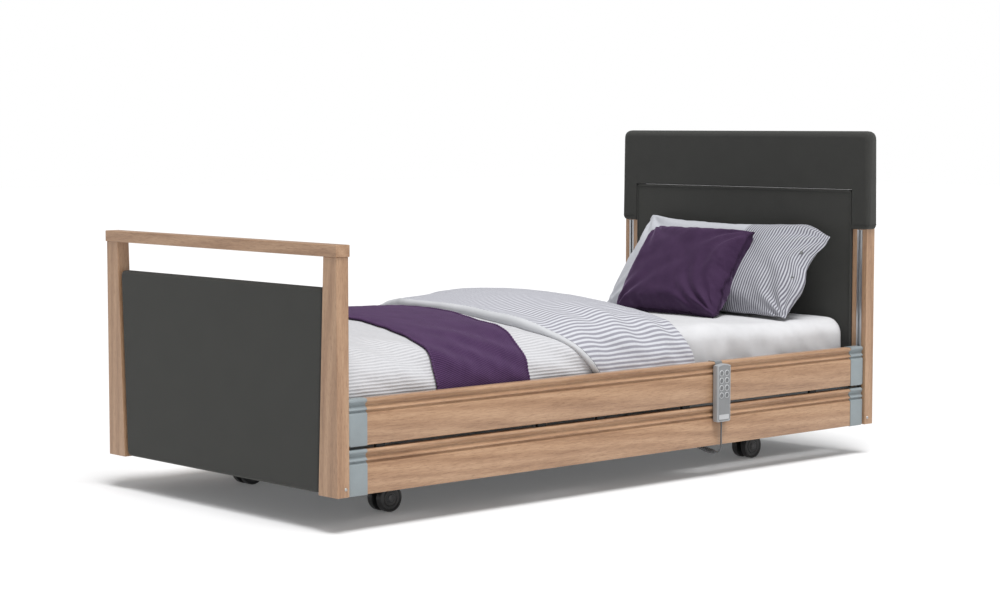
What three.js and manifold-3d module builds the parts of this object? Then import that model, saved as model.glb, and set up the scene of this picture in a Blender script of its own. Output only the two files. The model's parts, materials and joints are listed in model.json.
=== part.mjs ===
// Adjustable hospital bed: a low castor chassis, a parallelogram height lift, a four-section
// platform between an upholstered headboard and footboard, sliding two-board side rails,
// a wired handset and the bedding. Millimetres, +Z up, +X towards the head, the origin on the
// floor under the middle of the bed. The bed is at its lowest, flat, with its side rails down.
import * as THREE from "three";
import { mergeVertices } from "three/addons/utils/BufferGeometryUtils.js";
import Module from "manifold-3d";

const wasm = await Module();
wasm.setup();

// ---- driving dimensions ----------------------------------------------------------------------

const GAP = 0.3; // between pieces that touch
const NEAR = -1; // the side that carries the handset
const FAR = 1;

const LENGTH = 2130; // footboard cap to the back of the headboard
const WIDTH = 1050; // across the legs of either end board
const UNDERSIDE = 95; // floor to the underside of the end boards and side rails

const FOOT_LEG_TOP = 701; // top of a footboard leg, where the cap rail lies
const FOOT_LEG_THICK = 38;
const FOOT_LEG_WIDE_TOP = 54;
const FOOT_LEG_WIDE_BOTTOM = 79;
const CAP_THICK = 31;
const CAP_LIP = 3; // how far the cap rail stands out past the legs
const FOOT_PANEL_TOP = 622; // leaves the hand slot under the cap rail
const FOOT_PANEL_THICK = 30;

const HEAD_TOP = 1009;
const HEAD_LEG_THICK = 38;
const HEAD_LEG_WIDE = 56;
const PAD_THICK = 47;
const PAD_OVERHANG = 10; // the upper pad past each leg
const PAD_BACK = 2; // the upper pad behind the legs
const WING_BOTTOM = 703; // underside of the upper pad's wings
const INNER_TOP = 826; // top of the inner panel, under the upper pad's middle
const INNER_THICK = 31;
const INNER_PROUD = 4; // the inner panel in front of the legs
const PANEL_GAP = 3; // either upholstered panel to its legs

const TRACK_INSET = 28; // middle of a leg's track groove from the leg's outer side
const TRACK_WIDE = 20;
const TRACK_DEEP = 14;
const TRACK_FOOT = 15; // groove's lower end above the leg's underside

const RAIL_THICK = 28;
const RAIL_INSET = 7; // rail's outer face inside the legs' outer side
const RAIL_HIGH = [116, 119]; // lower and upper board
const RAIL_GAP = 10;
const RAIL_END_GAP = 3; // rail end to the leg's face
const RAIL_GROOVE_DROP = 31; // decorative groove below a board's top
const RAIL_GROOVE_DEEP = 4;
const RAIL_BEAD = 11; // radius of the rounded upper edge
const LUG = { wide: 7, high: 40, long: 12, drop: 30 }; // slides in the leg's track

const PLATFORM_TOP = 290; // deck surface
const DECK_HIGH = 30;
const SLAT_THICK = 7;
const SLAT_WIDE = 60;
const SLAT_PITCH = 108;
const DECK_INSET = 10; // deck's edge inside the mattress's edge
const DECK_RAIL_WIDE = 25;
const CALF_RAIL_WIDE = 24;
const CALF_RAIL_GAP = 3; // calf rails run just inside the thigh rails
const DECK_CROSS = 25; // cross bar beside each raised section's hinge

const BACK_HINGE_X = 200;
const THIGH_HINGE_X = -10;
const KNEE_HINGE_X = -350;
const HINGE_Z = 272;
const DECK_SHORT = 15; // deck's end inside the mattress's end
const EYE = 12; // radius of a hinge eye
const HINGE_PIN = 6;
const RUNNING = 0.3; // radial clearance of every pin
const BACK_LIMIT = 70; // degrees
const THIGH_LIMIT = 35;

const FRAME_TUBE_WIDE = 40;
const FRAME_TUBE_INSET = 30; // frame tube's outer side inside the mattress's edge
const FRAME_Z = [205, 245];
const SIDE_TUBE_LOW = 190; // the side tubes are deeper than the cross beams
const END_PLATE = { thick: 5, low: 150, high: 250, past: 43 };

const CHASSIS_TUBE = { inner: 290, outer: 330, low: 98, high: 138 };
const CHASSIS_HALF = 790;
const CHASSIS_CROSS = { head: 770, foot: -680, wide: 40 }; // middles and width
const ARM_LONG = 620;
const ARM_DROP_Z = 128; // chassis pivots
const ARM_TOP_Z = 225; // platform pivots at the lowest height
const HEAD_TOP_X = 87.6; // platform pivots of the two pairs of arms, at the lowest height
const FOOT_TOP_X = -672.4;
const ARM = { inner: 255, outer: 280, high: 32, pin: 9, eye: 17 };
const TORQUE = { radius: 17, along: 60 };
const LIFT_SWING = 44.29; // degrees, 400 mm of height

const WHEEL_RADIUS = 37.5;
const WHEEL_WIDE = 20;
const WHEEL_APART = 18; // between the inner faces of a castor's two wheels
const CASTOR_TRAIL = 22;
const CASTOR_X = [-735, 715]; // wheel centres
const AXLE = 4;

const MATTRESS_END_GAP = 65; // mattress end to either end of the bed
const MATTRESS_SIDE_GAP = 75; // mattress edge to the legs' outer side
const MATTRESS_THICK = 150;
const DUVET = { past: 30, crown: 95, skirt: 300, footPast: 8, head: 425 };
const THROW = { from: -691, to: -365, thick: 6 };

const HANDSET = { x: 355.5, wide: 57, high: 170, thick: 22, low: 165 };
const KEY = { radius: 6.7, proud: 1.2, travel: 1.2, deep: 5, columns: [-11.5, 11.5], rows: 4 };
const KEY_PITCH = 21.7;
const KEY_FIRST_DROP = 27; // top row below the handset's top
const LEAD_RADIUS = 3;
const COIL_RADIUS = 7.5;

// ---- places worked out from them -------------------------------------------------------------

const SIDE = WIDTH / 2;
const FOOT_FACE = -LENGTH / 2;
const FOOT_LEG_OUT = FOOT_FACE + CAP_LIP;
const FOOT_LEG_IN = FOOT_LEG_OUT + FOOT_LEG_THICK;
const HEAD_BACK = LENGTH / 2;
const HEAD_LEG_OUT = HEAD_BACK - PAD_BACK;
const HEAD_LEG_IN = HEAD_LEG_OUT - HEAD_LEG_THICK;
const TRACK_Y = SIDE - TRACK_INSET;
const INNER_FRONT = HEAD_LEG_IN - INNER_PROUD;
const RAIL_OUT = SIDE - RAIL_INSET;
const RAIL_IN = RAIL_OUT - RAIL_THICK;
const RAIL_LOW = [UNDERSIDE, UNDERSIDE + RAIL_HIGH[0] + RAIL_GAP];
const MATTRESS_TOP = PLATFORM_TOP + MATTRESS_THICK;
const MATTRESS_HALF = LENGTH / 2 - MATTRESS_END_GAP;
const MATTRESS_EDGE = SIDE - MATTRESS_SIDE_GAP;
const DECK_END = MATTRESS_HALF - DECK_SHORT;
const DECK_EDGE = MATTRESS_EDGE - DECK_INSET;
const DECK_RAIL = { inner: DECK_EDGE - DECK_RAIL_WIDE, outer: DECK_EDGE };
const CALF_EDGE = DECK_RAIL.inner - CALF_RAIL_GAP;
const CALF_RAIL = { inner: CALF_EDGE - CALF_RAIL_WIDE, outer: CALF_EDGE };
const FRAME_EDGE = MATTRESS_EDGE - FRAME_TUBE_INSET;
const FRAME_TUBE = { inner: FRAME_EDGE - FRAME_TUBE_WIDE, outer: FRAME_EDGE };
const ARM_REST = Math.asin((ARM_TOP_Z - ARM_DROP_Z) / ARM_LONG);
const ARM_REACH = ARM_LONG * Math.cos(ARM_REST);
const HEAD_PIVOT_X = HEAD_TOP_X + ARM_REACH;
const FOOT_PIVOT_X = FOOT_TOP_X + ARM_REACH;
const DUVET_HALF = MATTRESS_EDGE + DUVET.past;

// ---- shaping helpers -------------------------------------------------------------------------

const radians = THREE.MathUtils.degToRad;

function solid(geometry) {
  const bare = geometry.clone();
  bare.deleteAttribute("normal");
  bare.deleteAttribute("uv");
  const merged = mergeVertices(bare, 1e-4);
  const mesh = new wasm.Mesh({
    numProp: 3,
    vertProperties: new Float32Array(merged.attributes.position.array),
    triVerts: new Uint32Array(merged.index.array),
  });
  return new wasm.Manifold(mesh);
}

function geometryOf(body) {
  const { vertProperties, triVerts } = body.getMesh();
  const geometry = new THREE.BufferGeometry();
  geometry.setAttribute("position", new THREE.BufferAttribute(vertProperties, 3));
  geometry.setIndex(new THREE.BufferAttribute(triVerts, 1));
  geometry.computeVertexNormals();
  return geometry;
}

// A box between two corners, given in any order.
function box([x0, x1], [y0, y1], [z0, z1]) {
  const geometry = new THREE.BoxGeometry(Math.abs(x1 - x0), Math.abs(y1 - y0), Math.abs(z1 - z0));
  geometry.translate((x0 + x1) / 2, (y0 + y1) / 2, (z0 + z1) / 2);
  return solid(geometry);
}

// A round bar across the bed, from y0 to y1.
function barY(radius, x, z, [y0, y1], sides = 20) {
  const geometry = new THREE.CylinderGeometry(radius, radius, Math.abs(y1 - y0), sides);
  geometry.translate(x, (y0 + y1) / 2, z);
  return solid(geometry);
}

function barX(radius, [x0, x1], y, z, sides = 20) {
  const geometry = new THREE.CylinderGeometry(radius, radius, x1 - x0, sides);
  geometry.rotateZ(Math.PI / 2);
  geometry.translate((x0 + x1) / 2, y, z);
  return solid(geometry);
}

function barZ(radius, x, y, [z0, z1], sides = 20) {
  const geometry = new THREE.CylinderGeometry(radius, radius, z1 - z0, sides);
  geometry.rotateX(Math.PI / 2);
  geometry.translate(x, y, (z0 + z1) / 2);
  return solid(geometry);
}

// An outline of [y, z] points drawn along X.
function alongX(outline, x0, x1) {
  const shape = new THREE.Shape(outline.map(([y, z]) => new THREE.Vector2(y, z)));
  const geometry = new THREE.ExtrudeGeometry(shape, { depth: x1 - x0, bevelEnabled: false });
  const turn = new THREE.Matrix4().makeBasis(
    new THREE.Vector3(0, 1, 0),
    new THREE.Vector3(0, 0, 1),
    new THREE.Vector3(1, 0, 0),
  );
  geometry.applyMatrix4(turn);
  geometry.translate(x0, 0, 0);
  return solid(geometry);
}

// An outline of [x, z] points drawn along Y.
function alongY(outline, [y0, y1]) {
  const shape = new THREE.Shape(outline.map(([x, z]) => new THREE.Vector2(x, z)));
  const depth = Math.abs(y1 - y0);
  const geometry = new THREE.ExtrudeGeometry(shape, { depth, bevelEnabled: false });
  geometry.rotateX(Math.PI / 2);
  geometry.translate(0, Math.max(y0, y1), 0);
  return solid(geometry);
}

function union(...bodies) {
  return bodies.reduce((sum, body) => sum.add(body));
}

// Points round an arc of [u, v], from one angle to another in degrees.
function arc(u, v, radius, from, to, steps = 5) {
  const points = [];
  for (let i = 0; i <= steps; i += 1) {
    const angle = radians(from + ((to - from) * i) / steps);
    points.push([u + radius * Math.cos(angle), v + radius * Math.sin(angle)]);
  }
  return points;
}

// Distances from the middle of the bed on one side of it.
function across(side, from, to) {
  return side > 0 ? [from, to] : [-to, -from];
}

function tubeAlong(points, radius, sides, steps) {
  const circle = new THREE.Shape(
    arc(0, 0, radius, 0, 360 - 360 / sides, sides - 1).map(([u, v]) => new THREE.Vector2(u, v)),
  );
  const route = new THREE.CatmullRomCurve3(points.map((point) => new THREE.Vector3(...point)));
  return solid(new THREE.ExtrudeGeometry(circle, { steps, extrudePath: route }));
}

// ---- finishes --------------------------------------------------------------------------------

function finish(color, roughness, metalness = 0) {
  return { color, roughness, metalness };
}

const OAK = finish(0xb08d71, 0.55);
const CHARCOAL = finish(0x41413e, 0.95);
const STEEL = finish(0x8d9297, 0.4, 0.6);
const GREY_PLASTIC = finish(0x96999c, 0.45);
const KEY_GREY = finish(0x6d7174, 0.5);
const BLACK_PLASTIC = finish(0x2b2c2d, 0.5);
const SHEET_WHITE = finish(0xe6e6e8, 0.9);
const DUVET_WHITE = finish(0xdedfe2, 0.92);
const PURPLE = finish(0x46305a, 0.9);
const CORD_GREY = finish(0x3a3c3e, 0.6);

const bed = new THREE.Group();

function place(name, body, look) {
  const mesh = new THREE.Mesh(geometryOf(body), new THREE.MeshStandardMaterial(look));
  mesh.name = name;
  bed.add(mesh);
}

function sideName(side) {
  return side === NEAR ? "near" : "far";
}

// ---- chassis and castors ---------------------------------------------------------------------

const CHASSIS_Z = [CHASSIS_TUBE.low, CHASSIS_TUBE.high];
const CHASSIS_INSIDE = CHASSIS_TUBE.inner - GAP;

function chassisSide(side) {
  const tube = box(
    [-CHASSIS_HALF, CHASSIS_HALF],
    across(side, CHASSIS_TUBE.inner, CHASSIS_TUBE.outer),
    CHASSIS_Z,
  );
  const pinReach = across(side, ARM.inner - 3, CHASSIS_TUBE.inner + 10);
  const headPin = barY(ARM.pin, HEAD_PIVOT_X, ARM_DROP_Z, pinReach);
  const footPin = barY(ARM.pin, FOOT_PIVOT_X, ARM_DROP_Z, pinReach);
  return union(tube, headPin, footPin);
}

function chassisCross(x) {
  const half = CHASSIS_CROSS.wide / 2;
  return box([x - half, x + half], [-CHASSIS_INSIDE, CHASSIS_INSIDE], CHASSIS_Z);
}

place("chassis_side_tube_near", chassisSide(NEAR), STEEL);
place("chassis_side_tube_far", chassisSide(FAR), STEEL);
place("chassis_cross_tube_head", chassisCross(CHASSIS_CROSS.head), STEEL);

function wheelPair(x, y) {
  const inner = WHEEL_APART / 2;
  const outer = inner + WHEEL_WIDE;
  const edge = 4;
  const profile = [
    [0, inner],
    [WHEEL_RADIUS - edge, inner],
    [WHEEL_RADIUS, inner + edge],
    [WHEEL_RADIUS, outer - edge],
    [WHEEL_RADIUS - edge, outer],
    [14, outer],
    [14, outer - 2],
    [0, outer - 2],
  ].map(([r, height]) => new THREE.Vector2(r, height));
  const wheel = new THREE.LatheGeometry(profile, 28);
  const left = wheel.clone().translate(x, y, WHEEL_RADIUS);
  const right = wheel.clone().rotateX(Math.PI).translate(x, y, WHEEL_RADIUS);
  const axle = barY(AXLE, x, WHEEL_RADIUS, [y - inner - 2, y + inner + 2], 14);
  return union(solid(left), solid(right), axle);
}

function castorHousing(x, y) {
  const stemX = x + CASTOR_TRAIL;
  const web = [y - WHEEL_APART / 2 + 2.5, y + WHEEL_APART / 2 - 2.5];
  const boss = barY(20, x, WHEEL_RADIUS, web, 24);
  const neck = box([x - 8, stemX + 14], web, [WHEEL_RADIUS, 82]);
  const collar = barZ(20, stemX, y, [79, CHASSIS_TUBE.low - GAP], 24);
  const bore = barY(AXLE + RUNNING, x, WHEEL_RADIUS, [y - 20, y + 20], 14);
  return union(boss, neck, collar).subtract(bore);
}

const CASTOR_Y = (CHASSIS_TUBE.inner + CHASSIS_TUBE.outer) / 2;
for (const [end, x] of [["foot", CASTOR_X[0]], ["head", CASTOR_X[1]]]) {
  for (const side of [NEAR, FAR]) {
    const label = `castor_${end}_${sideName(side)}`;
    place(`${label}_housing`, castorHousing(x, side * CASTOR_Y), BLACK_PLASTIC);
    place(`${label}_wheels`, wheelPair(x, side * CASTOR_Y), BLACK_PLASTIC);
  }
}

// ---- height lift -----------------------------------------------------------------------------

// A point along a resting arm: a distance from its chassis pivot towards the platform pivot.
function onArm(pivotX, along) {
  return [pivotX - along * Math.cos(ARM_REST), ARM_DROP_Z + along * Math.sin(ARM_REST)];
}

function liftArms(pivotX) {
  const half = ARM.high / 2;
  const [tipX, tipZ] = onArm(pivotX, ARM_LONG);
  const drop = half * Math.sin(ARM_REST);
  const rise = half * Math.cos(ARM_REST);
  const outline = [
    [pivotX - drop, ARM_DROP_Z - rise],
    [pivotX + drop, ARM_DROP_Z + rise],
    [tipX + drop, tipZ + rise],
    [tipX - drop, tipZ - rise],
  ];
  const [tubeX, tubeZ] = onArm(pivotX, TORQUE.along);
  let frame = barY(TORQUE.radius, tubeX, tubeZ, [-ARM.inner - 5, ARM.inner + 5], 20);
  for (const side of [NEAR, FAR]) {
    const span = across(side, ARM.inner, ARM.outer);
    const bores = across(side, ARM.inner - 5, ARM.outer + 5);
    const plate = alongY(outline, span);
    const eyes = union(barY(ARM.eye, pivotX, ARM_DROP_Z, span), barY(ARM.eye, tipX, tipZ, span));
    const lower = barY(ARM.pin + RUNNING, pivotX, ARM_DROP_Z, bores);
    const upper = barY(ARM.pin + RUNNING, tipX, tipZ, bores);
    frame = union(frame, plate, eyes).subtract(lower).subtract(upper);
  }
  return frame;
}

// A lever is two plates; its far end is a given radius and angle from its hinge.
const LEVER = { apart: 28, plate: 6, eye: 12, hole: 5.3 };

function leverEnd(pivot, radius, angle) {
  return [pivot[0] + radius * Math.sin(radians(angle)), pivot[1] + radius * Math.cos(radians(angle))];
}

function leverPlates(root, end, y) {
  const length = Math.hypot(end[0] - root[0], end[1] - root[1]);
  const nx = (-(end[1] - root[1]) / length) * LEVER.eye;
  const nz = ((end[0] - root[0]) / length) * LEVER.eye;
  const outline = [
    [root[0] + nx, root[1] + nz],
    [root[0] - nx, root[1] - nz],
    [end[0] - nx, end[1] - nz],
    [end[0] + nx, end[1] + nz],
  ];
  const near = LEVER.apart / 2;
  const plates = [-1, 1].map((way) => {
    const span = across(way, near, near + LEVER.plate).map((offset) => y + offset);
    const hole = barY(LEVER.hole, end[0], end[1], [y - 40, y + 40], 12);
    return union(alongY(outline, span), barY(LEVER.eye, end[0], end[1], span)).subtract(hole);
  });
  return plates;
}

const LIFT_LEVER = 100;
const LIFT_Y = 60;
const liftPivot = [FOOT_PIVOT_X, ARM_DROP_Z];
const liftEnd = leverEnd(liftPivot, LIFT_LEVER, -LIFT_SWING / 2);
const liftRodZ = ARM_DROP_Z + (LIFT_LEVER * (1 + Math.cos(radians(LIFT_SWING / 2)))) / 2;

place("head_lift_arms", liftArms(HEAD_PIVOT_X), STEEL);
const footTorque = onArm(FOOT_PIVOT_X, TORQUE.along);
const footArms = union(liftArms(FOOT_PIVOT_X), ...leverPlates(footTorque, liftEnd, LIFT_Y));
place("foot_lift_arms", footArms, STEEL);

// A linear actuator lies along X: a motor box, an outer tube, and a rod with an eye.
const ACTUATOR = { box: 44, tube: 19, rod: 8, eyeHalf: 10, boxLong: 130 };

function actuatorHousing(rear, front, y, z) {
  const half = ACTUATOR.box / 2;
  const motor = box([rear, rear + ACTUATOR.boxLong], [y - half, y + half], [z - half, z + half]);
  const tube = barX(ACTUATOR.tube, [rear + ACTUATOR.boxLong - 5, front], y, z);
  const bore = barX(ACTUATOR.rod + RUNNING, [rear + ACTUATOR.boxLong + 10, front + 5], y, z, 16);
  return union(motor, tube).subtract(bore);
}

function actuatorRod(inside, eyeX, y, z) {
  const rod = barX(ACTUATOR.rod, [inside, eyeX], y, z, 16);
  const eye = barY(LEVER.eye, eyeX, z, [y - ACTUATOR.eyeHalf, y + ACTUATOR.eyeHalf], 16);
  return union(rod, eye);
}

const LIFT_REAR = CHASSIS_CROSS.foot + 15;
const LIFT_FRONT = FOOT_PIVOT_X - 190;
const ROD_INSIDE = 90; // length of a rod that stays in its housing at rest
const liftPost = box(
  [LIFT_REAR - 30, LIFT_REAR],
  [LIFT_Y - 15, LIFT_Y + 15],
  [CHASSIS_TUBE.high - 5, liftRodZ],
);
place("chassis_cross_tube_foot", union(chassisCross(CHASSIS_CROSS.foot), liftPost), STEEL);
const liftHousing = actuatorHousing(LIFT_REAR + GAP, LIFT_FRONT, LIFT_Y, liftRodZ);
place("lift_actuator_housing", liftHousing, BLACK_PLASTIC);
place("lift_actuator_rod", actuatorRod(LIFT_FRONT - ROD_INSIDE, liftEnd[0], LIFT_Y, liftRodZ), STEEL);

// ---- platform frame --------------------------------------------------------------------------

const HINGE_BRACKET = { inner: DECK_EDGE + 6, thick: 6, wide: 30, shelf: 9 };

function hingeBracket(side, x) {
  const outer = HINGE_BRACKET.inner + HINGE_BRACKET.thick;
  const span = [x - HINGE_BRACKET.wide / 2, x + HINGE_BRACKET.wide / 2];
  const top = HINGE_Z + EYE;
  const shelfFoot = FRAME_Z[1] - HINGE_BRACKET.shelf;
  const shelf = box(span, across(side, FRAME_TUBE.outer - 5, outer), [shelfFoot, FRAME_Z[1]]);
  const plate = box(span, across(side, HINGE_BRACKET.inner, outer), [shelfFoot, top]);
  const pin = barY(HINGE_PIN, x, HINGE_Z, across(side, DECK_RAIL.inner + 3, outer - 1));
  return union(shelf, plate, pin);
}

function frameSide(side) {
  const footEnd = FOOT_LEG_IN + GAP;
  const headEnd = INNER_FRONT - GAP;
  const span = across(side, FRAME_TUBE.inner, FRAME_TUBE.outer);
  const plateSpan = across(side, FRAME_TUBE.inner, FRAME_EDGE + END_PLATE.past);
  const tube = box([footEnd, headEnd], span, [SIDE_TUBE_LOW, FRAME_Z[1]]);
  const plates = [
    box([footEnd, footEnd + END_PLATE.thick], plateSpan, [END_PLATE.low, END_PLATE.high]),
    box([headEnd - END_PLATE.thick, headEnd], plateSpan, [END_PLATE.low, END_PLATE.high]),
  ];
  const hinges = [hingeBracket(side, BACK_HINGE_X), hingeBracket(side, THIGH_HINGE_X)];
  return union(tube, ...plates, ...hinges);
}

const CROSS_BEAM = { wide: 40, back: 35 };
const frameInside = FRAME_TUBE.inner - GAP;

// Carries the upper pivots of one pair of arms on two plates that reach towards them.
function frameCross(topX) {
  const beamHead = topX - CROSS_BEAM.back;
  const beam = box([beamHead - CROSS_BEAM.wide, beamHead], [-frameInside, frameInside], FRAME_Z);
  let body = beam;
  for (const side of [NEAR, FAR]) {
    const span = across(side, ARM.outer + 3, ARM.outer + 11);
    const plate = box([beamHead - 2, topX + 14], span, [ARM_TOP_Z - 14, ARM_TOP_Z + 14]);
    const pin = barY(ARM.pin, topX, ARM_TOP_Z, across(side, ARM.inner - 3, ARM.outer + 8));
    body = union(body, plate, pin);
  }
  return body;
}

place("platform_side_tube_near", frameSide(NEAR), STEEL);
place("platform_side_tube_far", frameSide(FAR), STEEL);
place("platform_cross_beam_head", frameCross(HEAD_TOP_X), STEEL);
place("platform_cross_beam_foot", frameCross(FOOT_TOP_X), STEEL);

// ---- the four deck sections ------------------------------------------------------------------

const DECK_Z = [PLATFORM_TOP - DECK_HIGH, PLATFORM_TOP - SLAT_THICK + 1];
const SLAT_Z = [PLATFORM_TOP - SLAT_THICK, PLATFORM_TOP - GAP];

function slats(from, to, reach) {
  const count = Math.max(1, Math.round((to - from) / SLAT_PITCH));
  const step = count === 1 ? 0 : (to - from - SLAT_WIDE) / (count - 1);
  const made = [];
  for (let i = 0; i < count; i += 1) {
    const start = from + i * step;
    made.push(box([start, start + SLAT_WIDE], [-reach, reach], SLAT_Z));
  }
  return made;
}

function deckRails(from, to, rail) {
  return [NEAR, FAR].map((side) => box([from, to], across(side, rail.inner, rail.outer), DECK_Z));
}

function hingeEyes(x, rail) {
  return [NEAR, FAR].map((side) => {
    const span = across(side, rail.inner, rail.outer);
    return barY(EYE - 0.5, x, HINGE_Z - 0.5, span);
  });
}

function boreThrough(body, x) {
  return body.subtract(barY(HINGE_PIN + RUNNING, x, HINGE_Z, [-SIDE, SIDE]));
}

function crossBar(from, reach) {
  return box([from, from + DECK_CROSS], [-reach, reach], DECK_Z);
}

const BACK_LEVER = 100;
const BACK_Y = -60;
const backPivot = [BACK_HINGE_X, HINGE_Z];
const backEnd = leverEnd(backPivot, -BACK_LEVER, BACK_LIMIT / 2);
const backRodZ = HINGE_Z - (BACK_LEVER * (1 + Math.cos(radians(BACK_LIMIT / 2)))) / 2;

const backBarX = BACK_HINGE_X + 18;
const backDeck = union(
  ...deckRails(BACK_HINGE_X, DECK_END, DECK_RAIL),
  ...hingeEyes(BACK_HINGE_X, DECK_RAIL),
  ...slats(BACK_HINGE_X + 40, DECK_END, DECK_RAIL.outer),
  crossBar(backBarX, DECK_RAIL.inner + 2),
  ...leverPlates([backBarX + DECK_CROSS / 2, HINGE_Z], backEnd, BACK_Y),
);
place("back_deck", boreThrough(backDeck, BACK_HINGE_X), STEEL);

const SEAT_MARGIN = 22; // seat deck to the hinge lines on either side of it
const seatFrom = THIGH_HINGE_X + SEAT_MARGIN;
const seatTo = BACK_HINGE_X - SEAT_MARGIN;
const SEAT_FOOT = 15.3; // lifts the seat deck's rails onto the frame
const seatFeet = [NEAR, FAR].map((side) =>
  box([seatFrom, seatTo], across(side, FRAME_TUBE.inner + 5, FRAME_TUBE.outer - 1), [
    FRAME_Z[1] + GAP,
    PLATFORM_TOP - SEAT_FOOT,
  ]),
);
const seatSlats = slats(seatFrom, seatTo, DECK_RAIL.outer);
const seatRails = deckRails(seatFrom, seatTo, { inner: FRAME_TUBE.inner, outer: FRAME_TUBE.outer });
place("seat_deck", union(...seatRails, ...seatFeet, ...seatSlats), STEEL);

const THIGH_LEVER = 100;
const THIGH_Y = -150;
const thighPivot = [THIGH_HINGE_X, HINGE_Z];
const thighEnd = leverEnd(thighPivot, -THIGH_LEVER, 0);
const thighRodZ = HINGE_Z - (THIGH_LEVER * (1 + Math.cos(radians(THIGH_LIMIT)))) / 2;

const thighBarX = THIGH_HINGE_X - 18 - DECK_CROSS;
const kneePins = [NEAR, FAR].map((side) =>
  barY(HINGE_PIN, KNEE_HINGE_X, HINGE_Z, across(side, CALF_RAIL.inner + 3, DECK_RAIL.inner + 5)),
);
const thighRails = [NEAR, FAR].map((side) => {
  const rail = across(side, DECK_RAIL.inner, DECK_RAIL.outer);
  return box([KNEE_HINGE_X - EYE, THIGH_HINGE_X], rail, DECK_Z);
});
const thighDeck = union(
  ...thighRails,
  ...hingeEyes(THIGH_HINGE_X, DECK_RAIL),
  ...slats(KNEE_HINGE_X + 25, THIGH_HINGE_X - 20, DECK_RAIL.outer),
  crossBar(thighBarX, DECK_RAIL.inner + 2),
  ...leverPlates([thighBarX + DECK_CROSS / 2, HINGE_Z], thighEnd, THIGH_Y),
);
place("thigh_deck", union(boreThrough(thighDeck, THIGH_HINGE_X), ...kneePins), STEEL);

const calfDeck = union(
  ...deckRails(-DECK_END, KNEE_HINGE_X, CALF_RAIL),
  ...hingeEyes(KNEE_HINGE_X, CALF_RAIL),
  ...slats(-DECK_END, KNEE_HINGE_X - 22, CALF_RAIL.outer),
);
place("calf_deck", boreThrough(calfDeck, KNEE_HINGE_X), STEEL);

// ---- section actuators and control box -------------------------------------------------------

const BACK_ACTUATOR = { rear: -330, front: 80 };
const BACK_ROD_INSIDE = 150;
const backHousing = actuatorHousing(BACK_ACTUATOR.rear, BACK_ACTUATOR.front, BACK_Y, backRodZ);
const beamHeadX = HEAD_TOP_X - CROSS_BEAM.back;
const saddle = box(
  [beamHeadX - CROSS_BEAM.wide, beamHeadX],
  [BACK_Y - 20, BACK_Y + 20],
  [backRodZ + 12, FRAME_Z[0] - GAP],
);
place("back_actuator_housing", union(backHousing, saddle), BLACK_PLASTIC);
const backRod = actuatorRod(BACK_ACTUATOR.front - BACK_ROD_INSIDE, backEnd[0], BACK_Y, backRodZ);
place("back_actuator_rod", backRod, STEEL);

const LEG_ACTUATOR = { rear: -470, front: -180 };
const beamFootX = FOOT_TOP_X - CROSS_BEAM.back;
const legHousing = union(
  actuatorHousing(LEG_ACTUATOR.rear, LEG_ACTUATOR.front, THIGH_Y, thighRodZ),
  barX(10, [beamFootX - 20, LEG_ACTUATOR.rear + 5], THIGH_Y, thighRodZ),
  box(
    [beamFootX - 30, beamFootX - 10],
    [THIGH_Y - 12, THIGH_Y + 12],
    [thighRodZ - 12, FRAME_Z[0] - GAP],
  ),
);
place("leg_actuator_housing", legHousing, BLACK_PLASTIC);
const legRod = actuatorRod(LEG_ACTUATOR.front - ROD_INSIDE, thighEnd[0], THIGH_Y, thighRodZ);
place("leg_actuator_rod", legRod, STEEL);

const CONTROL = { from: 60, to: 240, inner: 300, outer: FRAME_EDGE + 5, low: 150 };
const controlBox = box(
  [CONTROL.from, CONTROL.to],
  across(NEAR, CONTROL.inner, CONTROL.outer),
  [CONTROL.low, SIDE_TUBE_LOW - GAP],
);
const MAINS_INLET = { radius: 9, deep: 12 };
const inlet = barX(
  MAINS_INLET.radius,
  [CONTROL.from - 1, CONTROL.from + MAINS_INLET.deep],
  -(CONTROL.inner + 40),
  CONTROL.low + 25,
);
place("control_box", controlBox.subtract(inlet), BLACK_PLASTIC);

// ---- footboard -------------------------------------------------------------------------------

function trackGroove(side, face, way, top) {
  const span = across(side, TRACK_Y - TRACK_WIDE / 2, TRACK_Y + TRACK_WIDE / 2);
  return box([face + way * 5, face - way * TRACK_DEEP], span, [UNDERSIDE + TRACK_FOOT, top]);
}

function footLegInner(z) {
  const share = (z - UNDERSIDE) / (FOOT_LEG_TOP - UNDERSIDE);
  return SIDE - FOOT_LEG_WIDE_BOTTOM + share * (FOOT_LEG_WIDE_BOTTOM - FOOT_LEG_WIDE_TOP);
}

function footLeg(side) {
  const outline = [
    [side * SIDE, UNDERSIDE],
    [side * SIDE, FOOT_LEG_TOP],
    [side * footLegInner(FOOT_LEG_TOP), FOOT_LEG_TOP],
    [side * footLegInner(UNDERSIDE), UNDERSIDE],
  ];
  const leg = alongX(outline, FOOT_LEG_OUT, FOOT_LEG_IN);
  return leg.subtract(trackGroove(side, FOOT_LEG_IN, 1, FOOT_LEG_TOP + 5));
}

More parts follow.
